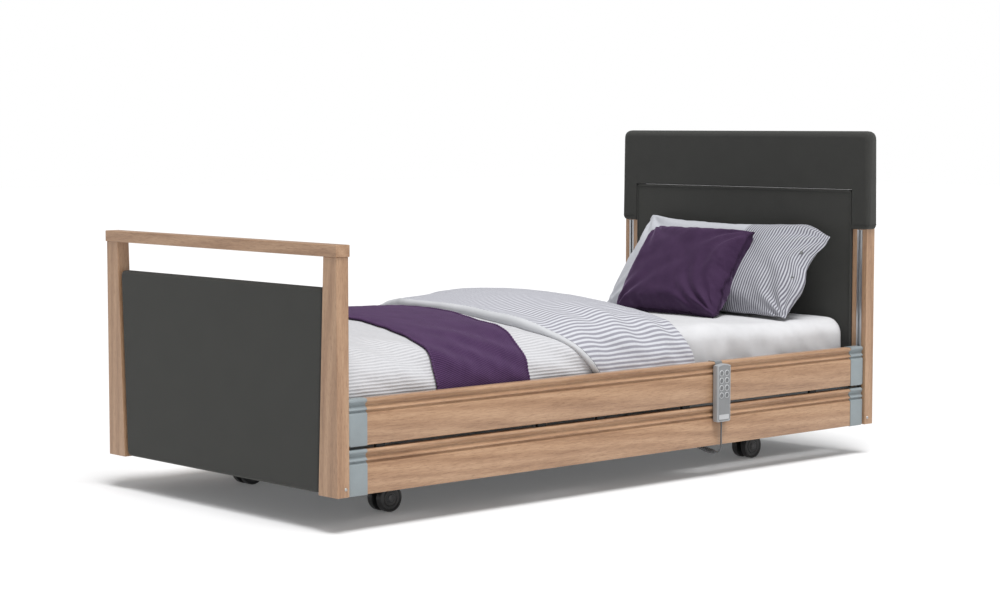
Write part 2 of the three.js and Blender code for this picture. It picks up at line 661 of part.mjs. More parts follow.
place("foot_leg_near", footLeg(NEAR), OAK);
place("foot_leg_far", footLeg(FAR), OAK);
const capSpan = SIDE + CAP_LIP;
place(
  "foot_cap_rail",
  box([FOOT_FACE, FOOT_LEG_IN + CAP_LIP], [-capSpan, capSpan], [
    FOOT_LEG_TOP + GAP,
    FOOT_LEG_TOP + CAP_THICK,
  ]),
  OAK,
);
const footPanelLow = UNDERSIDE + 3;
const footPanelOutline = [
  [-footLegInner(footPanelLow) + PANEL_GAP, footPanelLow],
  [footLegInner(footPanelLow) - PANEL_GAP, footPanelLow],
  [footLegInner(FOOT_PANEL_TOP) - PANEL_GAP, FOOT_PANEL_TOP],
  [-footLegInner(FOOT_PANEL_TOP) + PANEL_GAP, FOOT_PANEL_TOP],
];
const footPanelOut = FOOT_LEG_OUT + 4;
place(
  "foot_panel",
  alongX(footPanelOutline, footPanelOut, footPanelOut + FOOT_PANEL_THICK),
  CHARCOAL,
);

// ---- headboard -------------------------------------------------------------------------------

const HEAD_LEG_TOP = HEAD_TOP - 49;

function headLegBody(side, slack) {
  const span = across(side, SIDE - HEAD_LEG_WIDE - slack, SIDE + slack);
  return box([HEAD_LEG_IN - slack, HEAD_LEG_OUT + slack], span, [UNDERSIDE, HEAD_LEG_TOP + slack]);
}

function headLeg(side) {
  return headLegBody(side, 0).subtract(trackGroove(side, HEAD_LEG_IN, -1, WING_BOTTOM));
}

place("head_leg_near", headLeg(NEAR), OAK);
place("head_leg_far", headLeg(FAR), OAK);

const padHalf = SIDE + PAD_OVERHANG;
const innerHalf = SIDE - HEAD_LEG_WIDE - PANEL_GAP;
const padOutline = [
  [-padHalf, WING_BOTTOM],
  [-innerHalf - GAP, WING_BOTTOM],
  [-innerHalf - GAP, INNER_TOP + GAP],
  [innerHalf + GAP, INNER_TOP + GAP],
  [innerHalf + GAP, WING_BOTTOM],
  [padHalf, WING_BOTTOM],
  [padHalf, HEAD_TOP],
  [-padHalf, HEAD_TOP],
];
const upperPad = alongX(padOutline, HEAD_BACK - PAD_THICK, HEAD_BACK)
  .subtract(headLegBody(NEAR, GAP))
  .subtract(headLegBody(FAR, GAP));
place("head_upper_pad", upperPad, CHARCOAL);
place(
  "head_inner_panel",
  box([INNER_FRONT, INNER_FRONT + INNER_THICK], [-innerHalf, innerHalf], [UNDERSIDE + 5, INNER_TOP]),
  CHARCOAL,
);

// ---- side rails ------------------------------------------------------------------------------

const railEnds = [FOOT_LEG_IN + RAIL_END_GAP, HEAD_LEG_IN - RAIL_END_GAP];

// A board's section as [distance out from its inner face, height], rounded above and grooved.
function railSection(low, high) {
  const top = low + high;
  const groove = top - RAIL_GROOVE_DROP;
  const half = RAIL_GROOVE_DEEP;
  return [
    [0, low],
    [RAIL_THICK - 2, low],
    [RAIL_THICK, low + 2],
    [RAIL_THICK, groove - half],
    [RAIL_THICK - RAIL_GROOVE_DEEP, groove],
    [RAIL_THICK, groove + half],
    ...arc(RAIL_THICK - RAIL_BEAD, top - RAIL_BEAD, RAIL_BEAD, 0, 90),
    [4, top],
    [0, top - 4],
  ];
}

function sideRail(side, board) {
  const low = RAIL_LOW[board];
  const section = railSection(low, RAIL_HIGH[board]);
  const outline = section.map(([out, z]) => [side * (RAIL_IN + out), z]);
  const lugTop = low + RAIL_HIGH[board] - LUG.drop;
  const lugSpan = across(side, TRACK_Y - LUG.wide / 2, TRACK_Y + LUG.wide / 2);
  const lugZ = [lugTop - LUG.high, lugTop];
  const footLug = box([railEnds[0] - LUG.long, railEnds[0] + 5], lugSpan, lugZ);
  const headLug = box([railEnds[1] - 5, railEnds[1] + LUG.long], lugSpan, lugZ);
  return union(alongX(outline, railEnds[0], railEnds[1]), footLug, headLug);
}

for (const side of [NEAR, FAR]) {
  place(`side_rail_${sideName(side)}_lower`, sideRail(side, 0), OAK);
  place(`side_rail_${sideName(side)}_upper`, sideRail(side, 1), OAK);
}

// ---- handset and its cord --------------------------------------------------------------------

const railFace = NEAR * RAIL_OUT;
const railTop = RAIL_LOW[1] + RAIL_HIGH[1];
const handsetBack = railFace - 1;
const handsetFace = handsetBack - HANDSET.thick;
const handsetTop = HANDSET.low + HANDSET.high;
const handsetSpan = [HANDSET.x - HANDSET.wide / 2, HANDSET.x + HANDSET.wide / 2];

function keyPlaces() {
  const places = [];
  for (let row = 0; row < KEY.rows; row += 1) {
    for (const column of KEY.columns) {
      places.push([HANDSET.x + column, handsetTop - KEY_FIRST_DROP - row * KEY_PITCH]);
    }
  }
  return places;
}

function handsetBody() {
  const [from, to] = handsetSpan;
  const corner = 5;
  const arch = 5; // the top edge rises in the middle
  const outline = [
    ...arc(from + corner, HANDSET.low + corner, corner, 180, 270, 3),
    ...arc(to - corner, HANDSET.low + corner, corner, 270, 360, 3),
    [to, handsetTop - arch],
    [HANDSET.x + HANDSET.wide / 4, handsetTop - arch / 4],
    [HANDSET.x, handsetTop],
    [HANDSET.x - HANDSET.wide / 4, handsetTop - arch / 4],
    [from, handsetTop - arch],
  ];
  const hookTop = railTop + 3.5;
  const hookSpan = [HANDSET.x - 15, HANDSET.x + 15];
  const hookIn = -RAIL_IN + 3;
  const hook = union(
    box(hookSpan, [handsetBack - 8, handsetBack - 4], [handsetTop - 40, hookTop]),
    box(hookSpan, [handsetBack - 8, hookIn], [railTop + 1, hookTop]),
    box(hookSpan, [hookIn - 2, hookIn], [railTop - 15, hookTop]),
  );
  let body = union(alongY(outline, [handsetFace, handsetBack]), hook);
  for (const [x, z] of keyPlaces()) {
    const pocket = barY(KEY.radius + RUNNING, x, z, [handsetFace - 5, handsetFace + KEY.deep], 24);
    body = body.subtract(pocket);
  }
  return body;
}

place("handset", handsetBody(), GREY_PLASTIC);
keyPlaces().forEach(([x, z], i) => {
  const bottom = handsetFace + KEY.deep - KEY.travel - GAP;
  const key = barY(KEY.radius, x, z, [handsetFace - KEY.proud, bottom], 24);
  place(`handset_button_${i + 1}`, key, KEY_GREY);
});

const leadRoute = [
  [355.5, -530, 164.7],
  [355.5, -530, 150],
  [356, -529, 130],
  [357, -528, 112],
  [358, -527.5, 98],
  [357.5, -526, 86],
  [356.5, -522, 77.5],
  [355.5, -516, 73.8],
  [354.5, -510, 73.3],
];
const coilRoute = [
  [354.4, -509.2, 73.3],
  [352, -490, 74],
  [346, -467, 81],
  [335, -440, 94],
  [317, -415, 113],
  [299, -394, 138],
  [281, -380, 160],
  [263, -375, 171],
  [240.7, -375, 172],
];
place("handset_lead", tubeAlong(leadRoute, LEAD_RADIUS, 8, 10), CORD_GREY);
place("handset_coil", tubeAlong(coilRoute, COIL_RADIUS, 12, 16), CORD_GREY);

// ---- mattress and bedding --------------------------------------------------------------------

// A mattress section between two hinges, each end leaning away from its hinge by an angle so
// that the sections close up like a fan when the platform bends upwards.
function mattressSection(name, [from, leanFrom], [to, leanTo]) {
  const low = PLATFORM_TOP;
  const rise = (z, lean) => (z - HINGE_Z) * Math.tan(radians(lean)) + 0.5;
  const outline = [
    [from + rise(low, leanFrom), low],
    [to - rise(low, leanTo), low],
    [to - rise(MATTRESS_TOP, leanTo), MATTRESS_TOP],
    [from + rise(MATTRESS_TOP, leanFrom), MATTRESS_TOP],
  ];
  place(name, alongY(outline, [-MATTRESS_EDGE, MATTRESS_EDGE]), SHEET_WHITE);
}

const backLean = BACK_LIMIT / 2 + 1;
const thighLean = THIGH_LIMIT / 2 + 1;
mattressSection("mattress_back", [BACK_HINGE_X, backLean], [MATTRESS_HALF, 0]);
mattressSection("mattress_seat", [THIGH_HINGE_X, thighLean], [BACK_HINGE_X, backLean]);
mattressSection("mattress_thigh", [KNEE_HINGE_X, 0], [THIGH_HINGE_X, thighLean]);
mattressSection("mattress_calf", [-MATTRESS_HALF, 0], [KNEE_HINGE_X, 0]);

// Bedding lies over the mattress as an arch with a skirt down each side.
function archOver(under, thick, half) {
  const crown = MATTRESS_TOP + under + thick;
  const shoulder = half - 60;
  const shoulderZ = MATTRESS_TOP + (crown - MATTRESS_TOP) * 0.7;
  return [
    [-half, DUVET.skirt],
    [half, DUVET.skirt],
    [half, MATTRESS_TOP - 5],
    [shoulder, shoulderZ],
    [shoulder / 2, crown],
    [-shoulder / 2, crown],
    [-shoulder, shoulderZ],
    [-half, MATTRESS_TOP - 5],
  ];
}

const duvetArch = archOver(0, DUVET.crown, DUVET_HALF);
const duvetHollow = MATTRESS_EDGE + 2; // half the space that the duvet leaves for the mattress
const underDuvet = box([-LENGTH, LENGTH], [-duvetHollow, duvetHollow], [0, MATTRESS_TOP + GAP]);
const duvet = alongX(duvetArch, -MATTRESS_HALF - DUVET.footPast, DUVET.head).subtract(underDuvet);
place("duvet", duvet, DUVET_WHITE);

const throwArch = archOver(DUVET.crown, THROW.thick, DUVET_HALF + THROW.thick);
const underThrow = archOver(GAP, DUVET.crown, DUVET_HALF + GAP);
const throwBody = alongX(throwArch, THROW.from, THROW.to).subtract(
  alongX(underThrow, THROW.from - 5, THROW.to + 5),
);
place("throw_blanket", throwBody, PURPLE);

const bedTop = MATTRESS_TOP + GAP;
const pillowOutline = [
  [725, bedTop],
  [880, bedTop],
  [1010, 700],
  [966, 724],
];
const cushionOutline = [
  [585, bedTop],
  [702, bedTop],
  [898, 666],
  [824, 700],
];
place("pillow", alongY(pillowOutline, [-445, 345]), SHEET_WHITE);
place("cushion", alongY(cushionOutline, [-295, 175]), PURPLE);

export default bed;
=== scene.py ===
# %% [markdown]
# # An adjustable hospital bed, finished in Blender
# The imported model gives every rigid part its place. This file puts real finishes on those parts
# and makes the pieces that solid modelling can't: boards with moulded ends, upholstered panels,
# a curled lead, and the bedding. Everything is in metres, +Z up and +X towards the head.

# %% Load the frame
import json
import math

import bmesh
import bpy
import numpy as np
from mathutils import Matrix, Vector, noise as field

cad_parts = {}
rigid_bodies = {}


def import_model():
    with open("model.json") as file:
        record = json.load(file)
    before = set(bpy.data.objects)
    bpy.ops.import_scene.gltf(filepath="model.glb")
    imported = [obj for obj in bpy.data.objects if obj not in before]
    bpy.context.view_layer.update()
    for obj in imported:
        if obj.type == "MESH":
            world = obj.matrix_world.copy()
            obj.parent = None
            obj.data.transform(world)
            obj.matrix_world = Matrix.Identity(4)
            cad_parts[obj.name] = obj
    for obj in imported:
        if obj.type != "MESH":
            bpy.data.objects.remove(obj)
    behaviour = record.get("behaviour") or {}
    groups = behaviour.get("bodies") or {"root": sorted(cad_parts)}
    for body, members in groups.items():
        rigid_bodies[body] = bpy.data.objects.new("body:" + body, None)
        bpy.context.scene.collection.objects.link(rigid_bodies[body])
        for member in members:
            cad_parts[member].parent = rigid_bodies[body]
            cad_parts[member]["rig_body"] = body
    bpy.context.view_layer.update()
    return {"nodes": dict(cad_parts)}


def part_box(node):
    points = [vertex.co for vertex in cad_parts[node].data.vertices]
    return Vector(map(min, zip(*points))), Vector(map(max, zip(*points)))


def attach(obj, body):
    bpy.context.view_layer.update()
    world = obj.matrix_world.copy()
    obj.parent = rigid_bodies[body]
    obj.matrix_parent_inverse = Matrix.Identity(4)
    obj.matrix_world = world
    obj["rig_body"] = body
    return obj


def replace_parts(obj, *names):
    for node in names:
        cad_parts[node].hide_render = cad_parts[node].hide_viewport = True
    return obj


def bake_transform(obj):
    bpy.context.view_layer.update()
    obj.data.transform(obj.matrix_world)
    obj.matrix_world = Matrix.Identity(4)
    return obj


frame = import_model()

NEAR, FAR = -1, 1
SIDES = {"near": NEAR, "far": FAR}

# %% [markdown]
# ## The camera
# It stands well back and a little above the bed, on the near side of the foot end. A long lens
# keeps the end boards almost square to each other, as catalogue views do.

# %% Camera
EYE_PLACE = Vector((-4.519, -4.9425, 1.0363))
EYE_YAW, EYE_PITCH = math.radians(47.797), math.radians(-4.504)

lens = bpy.data.cameras.new("camera")
lens.lens, lens.sensor_width = 81.2, 36.0
lens.clip_start, lens.clip_end = 0.05, 60.0
camera = bpy.data.objects.new("camera", lens)
bpy.context.scene.collection.objects.link(camera)
looking = Vector((
    math.cos(EYE_YAW) * math.cos(EYE_PITCH),
    math.sin(EYE_YAW) * math.cos(EYE_PITCH),
    math.sin(EYE_PITCH),
))
camera.location = EYE_PLACE
camera.rotation_euler = looking.to_track_quat("-Z", "Y").to_euler()
bpy.context.scene.camera = camera
bpy.context.scene.view_settings.view_transform = "Standard"

# %% [markdown]
# ## Helpers for meshes
# Most pieces here are lofts: a row of outlines, each with the same number of points, joined by
# quads. One helper turns points and faces into an object, and others give the faces of a loft and
# of a grid, so each piece below only has to say where its points are.

# %% Mesh helpers
SAME_POINT = 1e-6


def new_object(name, mesh):
    obj = bpy.data.objects.new(name, mesh)
    bpy.context.scene.collection.objects.link(obj)
    return obj


def soften(mesh, sharp_above=35):
    mesh.shade_smooth()
    mesh.set_sharp_from_angle(angle=math.radians(sharp_above))


def plain_mesh(name, points, faces=(), edges=()):
    mesh = bpy.data.meshes.new(name)
    mesh.from_pydata([tuple(map(float, p)) for p in points], list(edges),
                     [tuple(map(int, f)) for f in faces])
    return mesh


def face_outwards(mesh, merge=False):
    """Turns every face outwards, after joining points that lie on each other if asked."""
    shell = bmesh.new()
    shell.from_mesh(mesh)
    if merge:
        bmesh.ops.remove_doubles(shell, verts=shell.verts, dist=SAME_POINT)
    bmesh.ops.recalc_face_normals(shell, faces=shell.faces)
    shell.to_mesh(mesh)
    shell.free()


def make_piece(name, points, faces, finish, sharp_above=35):
    mesh = plain_mesh(name, points, faces)
    face_outwards(mesh, merge=True)
    soften(mesh, sharp_above)
    mesh.materials.append(finish)
    return new_object(name, mesh)


def loft_faces(rings, count, closed_ends=True, closed_rings=False):
    faces = []
    for r in range(rings if closed_rings else rings - 1):
        here, there = r * count, ((r + 1) % rings) * count
        for i in range(count):
            j = (i + 1) % count
            faces.append((here + i, here + j, there + j, there + i))
    if closed_ends and not closed_rings:
        faces.append(tuple(range(count))[::-1])
        faces.append(tuple((rings - 1) * count + i for i in range(count)))
    return faces


def grid_faces(rows, columns):
    return [
        (r * columns + c, r * columns + c + 1, (r + 1) * columns + c + 1, (r + 1) * columns + c)
        for r in range(rows - 1)
        for c in range(columns - 1)
    ]


def rim_of(index):
    """The numbers round the edge of a grid of point numbers."""
    return [*index[0, :-1], *index[:-1, -1], *index[-1, :0:-1], *index[:0:-1, 0]]


def arc(u, v, radius, start, end, steps=6):
    """Points on an arc round (u, v), its angles in degrees."""
    angles = np.radians(np.linspace(start, end, steps + 1))
    return [(u + radius * math.cos(a), v + radius * math.sin(a)) for a in angles]


def rounded_box_outline(u0, u1, v0, v1, radius, steps=6):
    return [
        *arc(u1 - radius, v1 - radius, radius, 0, 90, steps),
        *arc(u0 + radius, v1 - radius, radius, 90, 180, steps),
        *arc(u0 + radius, v0 + radius, radius, 180, 270, steps),
        *arc(u1 - radius, v0 + radius, radius, 270, 360, steps),
    ]

# %% [markdown]
# ## The hand control's lead
# A straight stretch hangs from the case, turns in under the side board, and runs on as a curled
# stretch to the control box. It is one cord of one thickness, so it is one tube: the curled part
# is the same cord wound round the route as a helix, a little more than its own width per turn.
# On the bed it stretches as the side board is raised; here it is made as one fixed piece.

# %% The lead's route
LEAD_POINTS = [
    (0.3555, -0.530, 0.1647), (0.3555, -0.530, 0.150), (0.356, -0.529, 0.130),
    (0.357, -0.528, 0.112), (0.358, -0.5275, 0.098), (0.3575, -0.526, 0.086),
    (0.3565, -0.522, 0.0775), (0.3555, -0.516, 0.0738), (0.3545, -0.510, 0.0733),
]
CURL_POINTS = [
    (0.3544, -0.5092, 0.0733), (0.352, -0.490, 0.074), (0.346, -0.467, 0.081),
    (0.335, -0.440, 0.094), (0.317, -0.415, 0.113), (0.299, -0.394, 0.138),
    (0.281, -0.380, 0.160), (0.263, -0.375, 0.171), (0.2407, -0.375, 0.172),
]
LEAD_THICK = 0.0048
CURL_RADIUS = 0.0058
CURL_PITCH = 0.0064
TURN_POINTS = 12


def smooth_route(points, spacing):
    """A Catmull-Rom line through points, as evenly spaced points."""
    before, after = 2 * np.array(points[0]) - points[1], 2 * np.array(points[-1]) - points[-2]
    p = np.array([before, *points, after])
    fine = []
    for a, b, c, d in zip(p, p[1:], p[2:], p[3:]):
        for t in np.linspace(0, 1, 24, endpoint=False):
            fine.append(0.5 * (2 * b + (c - a) * t + (2 * a - 5 * b + 4 * c - d) * t**2
                               + (3 * b - a - 3 * c + d) * t**3))
    fine.append(p[-2])
    fine = np.array(fine)
    walked = np.concatenate([[0], np.cumsum(np.linalg.norm(np.diff(fine, axis=0), axis=1))])
    count = max(2, round(walked[-1] / spacing) + 1)
    even = np.linspace(0, walked[-1], count)
    return np.stack([np.interp(even, walked, fine[:, k]) for k in range(3)], axis=1)


def frames_along(route):
    """Two unit vectors across the route at each of its points, which don't twist."""
    along = np.gradient(route, axis=0)
    along /= np.linalg.norm(along, axis=1)[:, None]
    across = np.cross(along[0], (0.31, 0.2, 0.93))
    first, second = [], []
    for t in along:
        across = across - t * (across @ t)
        across /= np.linalg.norm(across)
        first.append(across)
        second.append(np.cross(t, across))
    return np.array(first), np.array(second)


def wound_round(route, radius, pitch):
    """The line of a cord wound round a route, easing out to its radius and back."""
    walked = np.concatenate([[0], np.cumsum(np.linalg.norm(np.diff(route, axis=0), axis=1))])
    turns = walked[-1] / pitch
    share = np.linspace(0, 1, round(turns * TURN_POINTS) + 1)
    at = share * walked[-1]
    first, second = frames_along(route)
    line = np.stack([np.interp(at, walked, route[:, k]) for k in range(3)], axis=1)
    e1 = np.stack([np.interp(at, walked, first[:, k]) for k in range(3)], axis=1)
    e2 = np.stack([np.interp(at, walked, second[:, k]) for k in range(3)], axis=1)
    ease = np.clip(np.minimum(share, 1 - share) * turns / 1.2, 0, 1)[:, None]
    angle = (share * turns * 2 * math.pi)[:, None]
    return line + radius * ease * (np.cos(angle) * e1 + np.sin(angle) * e2)


def tube(name, line, radius, finish, sides=10):
    first, second = frames_along(line)
    angles = np.linspace(0, 2 * math.pi, sides, endpoint=False)
    rings = [
        p + radius * (math.cos(a) * e1 + math.sin(a) * e2)
        for p, e1, e2 in zip(line, first, second)
        for a in angles
    ]
    return make_piece(name, rings, loft_faces(len(line), sides), finish, 60)


straight = smooth_route(LEAD_POINTS, 0.004)
curled = wound_round(smooth_route(CURL_POINTS, 0.002), CURL_RADIUS, CURL_PITCH)
lead_line = np.concatenate([straight, curled[1:]])

# %% [markdown]
# ## Node helpers and finishes
# Each finish is a small node tree on a Principled shader. Patterns read Object coordinates, which
# don't stretch when a board is long, or the piece's own UV map where the pattern was woven into a
# cloth before it was laid. Values that are the same everywhere sit on the shader's own sockets.

# %% Node helpers
def add(tree, kind, inputs=None, **settings):
    """Adds a node, sets its settings, and fills or links its inputs."""
    made = tree.nodes.new(kind)
    for key, value in settings.items():
        setattr(made, key, value)
    for key, value in (inputs or {}).items():
        if isinstance(value, bpy.types.NodeSocket):
            tree.links.new(value, made.inputs[key])
        else:
            made.inputs[key].default_value = value
    return made


def new_finish(name, roughness, **fixed):
    """A material with its Principled shader, whose fixed values are set by socket name."""
    finish = bpy.data.materials.new(name)
    finish.use_nodes = True
    shader = finish.node_tree.nodes["Principled BSDF"]
    shader.inputs["Roughness"].default_value = roughness
    for key, value in fixed.items():
        shader.inputs[key.replace("_", " ")].default_value = value
    return finish, finish.node_tree, shader


def math_node(tree, operation, *values):
    return add(tree, "ShaderNodeMath", dict(enumerate(values)), operation=operation).outputs[0]


def weighted(tree, *parts):
    """The sum of (value, weight) parts."""
    total = None
    for value, weight in parts:
        part = value if weight == 1 else math_node(tree, "MULTIPLY", value, weight)
        total = part if total is None else math_node(tree, "ADD", total, part)
    return total


def ramp(tree, factor, *stops):
    """A colour ramp from (position, colour) stops."""
    made = add(tree, "ShaderNodeValToRGB", {"Fac": factor})
    elements = made.color_ramp.elements
    while len(elements) < len(stops):
        elements.new(0.5)
    for element, (position, colour) in zip(elements, stops):
        element.position, element.color = position, (*colour, 1)
    return made.outputs["Color"]


def object_place(tree, scale=(1, 1, 1)):
    coordinates = add(tree, "ShaderNodeTexCoord").outputs["Object"]
    return add(tree, "ShaderNodeMapping", {"Vector": coordinates, "Scale": scale}).outputs["Vector"]


def cloth_place(tree, scale=(1, 1, 1)):
    coordinates = add(tree, "ShaderNodeUVMap", uv_map="cloth").outputs["UV"]
    return add(tree, "ShaderNodeMapping", {"Vector": coordinates, "Scale": scale}).outputs["Vector"]


def noise(tree, vector, scale, detail=3.0, roughness=0.55):
    made = add(tree, "ShaderNodeTexNoise", {
        "Vector": vector, "Scale": scale, "Detail": detail, "Roughness": roughness})
    return made.outputs["Fac"]


def wave(tree, vector, scale, direction, distortion=0.0, detail_scale=1.0):
    made = add(tree, "ShaderNodeTexWave", {
        "Vector": vector, "Scale": scale, "Distortion": distortion, "Detail": 2.0,
        "Detail Scale": detail_scale}, bands_direction=direction)
    return made.outputs["Fac"]


def mix(tree, factor, a, b, blend="MIX"):
    made = add(tree, "ShaderNodeMix", data_type="RGBA", blend_type=blend)
    for socket, value in ((made.inputs[0], factor), (made.inputs[6], a), (made.inputs[7], b)):
        if isinstance(value, bpy.types.NodeSocket):
            tree.links.new(value, socket)
        else:
            socket.default_value = (*value, 1) if isinstance(value, tuple) else value
    return made.outputs[2]


def finish_with(tree, shader, colour=None, bump=None, depth=0.0005, strength=0.5, roughness=None):
    if colour is not None:
        tree.links.new(colour, shader.inputs["Base Color"])
    if roughness is not None:
        tree.links.new(roughness, shader.inputs["Roughness"])
    if bump is not None:
        made = add(tree, "ShaderNodeBump", {
            "Height": bump, "Distance": depth, "Strength": strength})
        tree.links.new(made.outputs["Normal"], shader.inputs["Normal"])


def spread(tree, value, low, high):
    """A value from 0 to 1 as one from low to high."""
    made = add(tree, "ShaderNodeMapRange", {"Value": value, "To Min": low, "To Max": high})
    return made.outputs["Result"]

# %% [markdown]
# ### Oak laminate
# Oak has long pale figure with darker streaks, and short open pores that run with the grain. Both
# are noise stretched along the board: low and wide for the figure, fine and short for the pores.
# A board laid along X and a leg that stands along Z need the stretch on different axes.

# %% Oak
def oak_finish(name, grain):
    finish, tree, shader = new_finish(name, 0.42, Coat_Weight=0.25, Coat_Roughness=0.32)
    squeeze = [1.0, 1.0, 1.0]
    squeeze[grain] = 0.06
    place = object_place(tree, tuple(squeeze))
    warp = noise(tree, object_place(tree), 3.0, 2)
    figure = noise(tree, place, 48.0, 5, 0.6)
    streaks = noise(tree, place, 260.0, 4, 0.7)
    pores = noise(tree, place, 760.0, 2, 0.6)
    ring_scale = [14.0, 14.0, 14.0]
    ring_scale[grain] = 0.9
    rings = wave(tree, object_place(tree, tuple(ring_scale)), 1.0, "DIAGONAL", 9.0, 0.8)
    tone = weighted(tree, (weighted(tree, (figure, 0.42), (streaks, 0.58)), 0.86), (rings, 0.14))
    colour = ramp(tree, tone,
                  (0.32, (0.262, 0.143, 0.078)), (0.47, (0.385, 0.226, 0.131)),
                  (0.56, (0.440, 0.270, 0.161)), (0.70, (0.520, 0.334, 0.208)))
    pore_mask = ramp(tree, pores, (0.34, (0.62, 0.56, 0.50)), (0.46, (1, 1, 1)))
    colour = mix(tree, 0.8, colour, pore_mask, "MULTIPLY")
    colour = mix(tree, spread(tree, warp, 0.0, 0.22), colour, (0.50, 0.305, 0.18))
    finish_with(tree, shader, colour, math_node(tree, "ADD", pores, streaks), 0.00035, 0.45,
                spread(tree, streaks, 0.34, 0.50))
    return finish


oak_along_x = oak_finish("oak_along_the_bed", 0)
oak_along_y = oak_finish("oak_across_the_bed", 1)
oak_along_z = oak_finish("oak_upright", 2)

# %% [markdown]
# ### Upholstery, moulded plastic and metal
# The charcoal cover is a flat basket weave with a heathered tone. The plastics have the faint
# pebble of a spark-eroded mould, and the metals a fine drawn line or a powder coat's orange peel.

# %% Upholstery
WAVE_PER_METRE = 0.31416  # a wave texture's scale for one band a metre


def weave_finish(name, dark, light, thread=0.0013):
    finish, tree, shader = new_finish(
        name, 0.92, Sheen_Weight=0.25, Sheen_Roughness=0.5, Sheen_Tint=(0.55, 0.55, 0.52, 1),
        Specular_IOR_Level=0.25)
    place = object_place(tree)
    scale = WAVE_PER_METRE / thread
    across_y = wave(tree, place, scale, "Y")
    across_z = wave(tree, place, scale, "Z")
    across_x = wave(tree, place, scale, "X")
    weave = math_node(tree, "MULTIPLY", math_node(tree, "MAXIMUM", across_y, across_x), across_z)
    heather = noise(tree, place, 620.0, 3, 0.75)
    cloudy = noise(tree, place, 14.0, 2)
    tone = weighted(tree, (heather, 0.66), (cloudy, 0.07), (weave, 0.22))
    colour = ramp(tree, tone, (0.30, dark), (0.62, light))
    finish_with(tree, shader, colour, weave, 0.0006, 0.6)
    return finish


charcoal = weave_finish("charcoal_weave", (0.030, 0.031, 0.029), (0.066, 0.066, 0.062))
charcoal_cord = weave_finish("charcoal_piping", (0.022, 0.022, 0.021), (0.048, 0.048, 0.046), 0.001)

# %% Plastics and metals
def moulded_finish(name, colour, roughness, grain=900.0, spread_by=0.12, **fixed):
    finish, tree, shader = new_finish(name, roughness, **fixed)
    place = object_place(tree)
    pebble = noise(tree, place, grain, 2)
    cloud = noise(tree, place, 14.0, 3)
    low = tuple(c * (1 - spread_by) for c in colour)
    high = tuple(min(1, c * (1 + spread_by)) for c in colour)
    tone = ramp(tree, weighted(tree, (pebble, 0.35), (cloud, 0.65)), (0.3, low), (0.7, high))
    finish_with(tree, shader, tone, pebble, 0.00012, 0.5,
                spread(tree, cloud, roughness - 0.06, roughness + 0.08))
    return finish


def drawn_metal_finish(name, colour, axis, roughness=0.3):
    finish, tree, shader = new_finish(name, roughness, Metallic=1.0)
    squeeze = [1.0, 1.0, 1.0]
    squeeze[axis] = 0.01
    lines = noise(tree, object_place(tree, tuple(squeeze)), 1400.0, 3, 0.7)
    cloud = noise(tree, object_place(tree), 9.0, 3)
    tone = ramp(tree, weighted(tree, (lines, 0.5), (cloud, 0.5)),
                (0.35, tuple(c * 0.8 for c in colour)), (0.65, colour))
    finish_with(tree, shader, tone, lines, 0.00008, 0.4,
                spread(tree, lines, roughness - 0.08, roughness + 0.12))
    return finish


end_cap_grey = moulded_finish("end_cap_grey", (0.262, 0.300, 0.315), 0.42, Coat_Weight=0.1)
handset_grey = moulded_finish("handset_grey", (0.225, 0.232, 0.238), 0.40, Coat_Weight=0.15)
handset_rim_grey = moulded_finish("handset_rim", (0.34, 0.35, 0.36), 0.34, Coat_Weight=0.2)
# The blank plate's own pale grey; on the key rings it is painted highlight as well.
plate_grey_and_ring_highlight = moulded_finish("handset_plate", (0.50, 0.51, 0.52), 0.38)
key_grey = moulded_finish("key_rubber", (0.165, 0.170, 0.175), 0.55)
black_plastic = moulded_finish("black_plastic", (0.020, 0.021, 0.022), 0.45)
castor_black = moulded_finish("castor_black", (0.030, 0.030, 0.031), 0.38, Coat_Weight=0.1)
castor_hub_grey = moulded_finish("castor_hub", (0.085, 0.086, 0.089), 0.42)
rubber = moulded_finish("buffer_rubber", (0.016, 0.016, 0.016), 0.75)
frame_grey = moulded_finish("powder_coated_steel", (0.25, 0.275, 0.29), 0.36, 420.0, 0.06)
lead_grey = moulded_finish("lead_sleeve", (0.085, 0.088, 0.092), 0.32, 700.0, 0.1, Coat_Weight=0.3)
aluminium = drawn_metal_finish("drawn_aluminium", (0.62, 0.63, 0.64), 2)
bright_steel = drawn_metal_finish("polished_rod", (0.66, 0.66, 0.67), 0, 0.2)
zinc = drawn_metal_finish("zinc_screw", (0.60, 0.60, 0.60), 1, 0.28)
print("finishes so far:", len(bpy.data.materials))

# %% The lead itself
hand_lead = tube("hand_lead", lead_line, LEAD_THICK / 2, lead_grey)
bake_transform(hand_lead)
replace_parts(hand_lead, "handset_lead", "handset_coil")

# %% [markdown]
# ## Floor and light
# A plain pale floor under a white sky, with a wide soft light from straight above and a weaker one
# beside the camera. The sky is dimmer as a light than it looks, so the forms keep their shading,
# and the floor glows a little, so that the shadow under the bed stays light.

# %% Floor and light
def studio_floor():
    finish, tree, shader = new_finish(
        "studio_floor", 0.9, Specular_IOR_Level=0.1, Emission_Color=(1, 1, 1, 1),
        Emission_Strength=FLOOR_GLOW)
    finish_with(tree, shader, ramp(tree, noise(tree, object_place(tree), 1.2, 2),
                                   (0.3, (0.80, 0.80, 0.805)), (0.7, (0.83, 0.83, 0.835))))
    reach = 26.0
    floor = make_piece("studio_floor", [(-reach, -reach, 0), (reach, -reach, 0), (reach, reach, 0),
                                        (-reach, reach, 0)], [(0, 1, 2, 3)], finish)


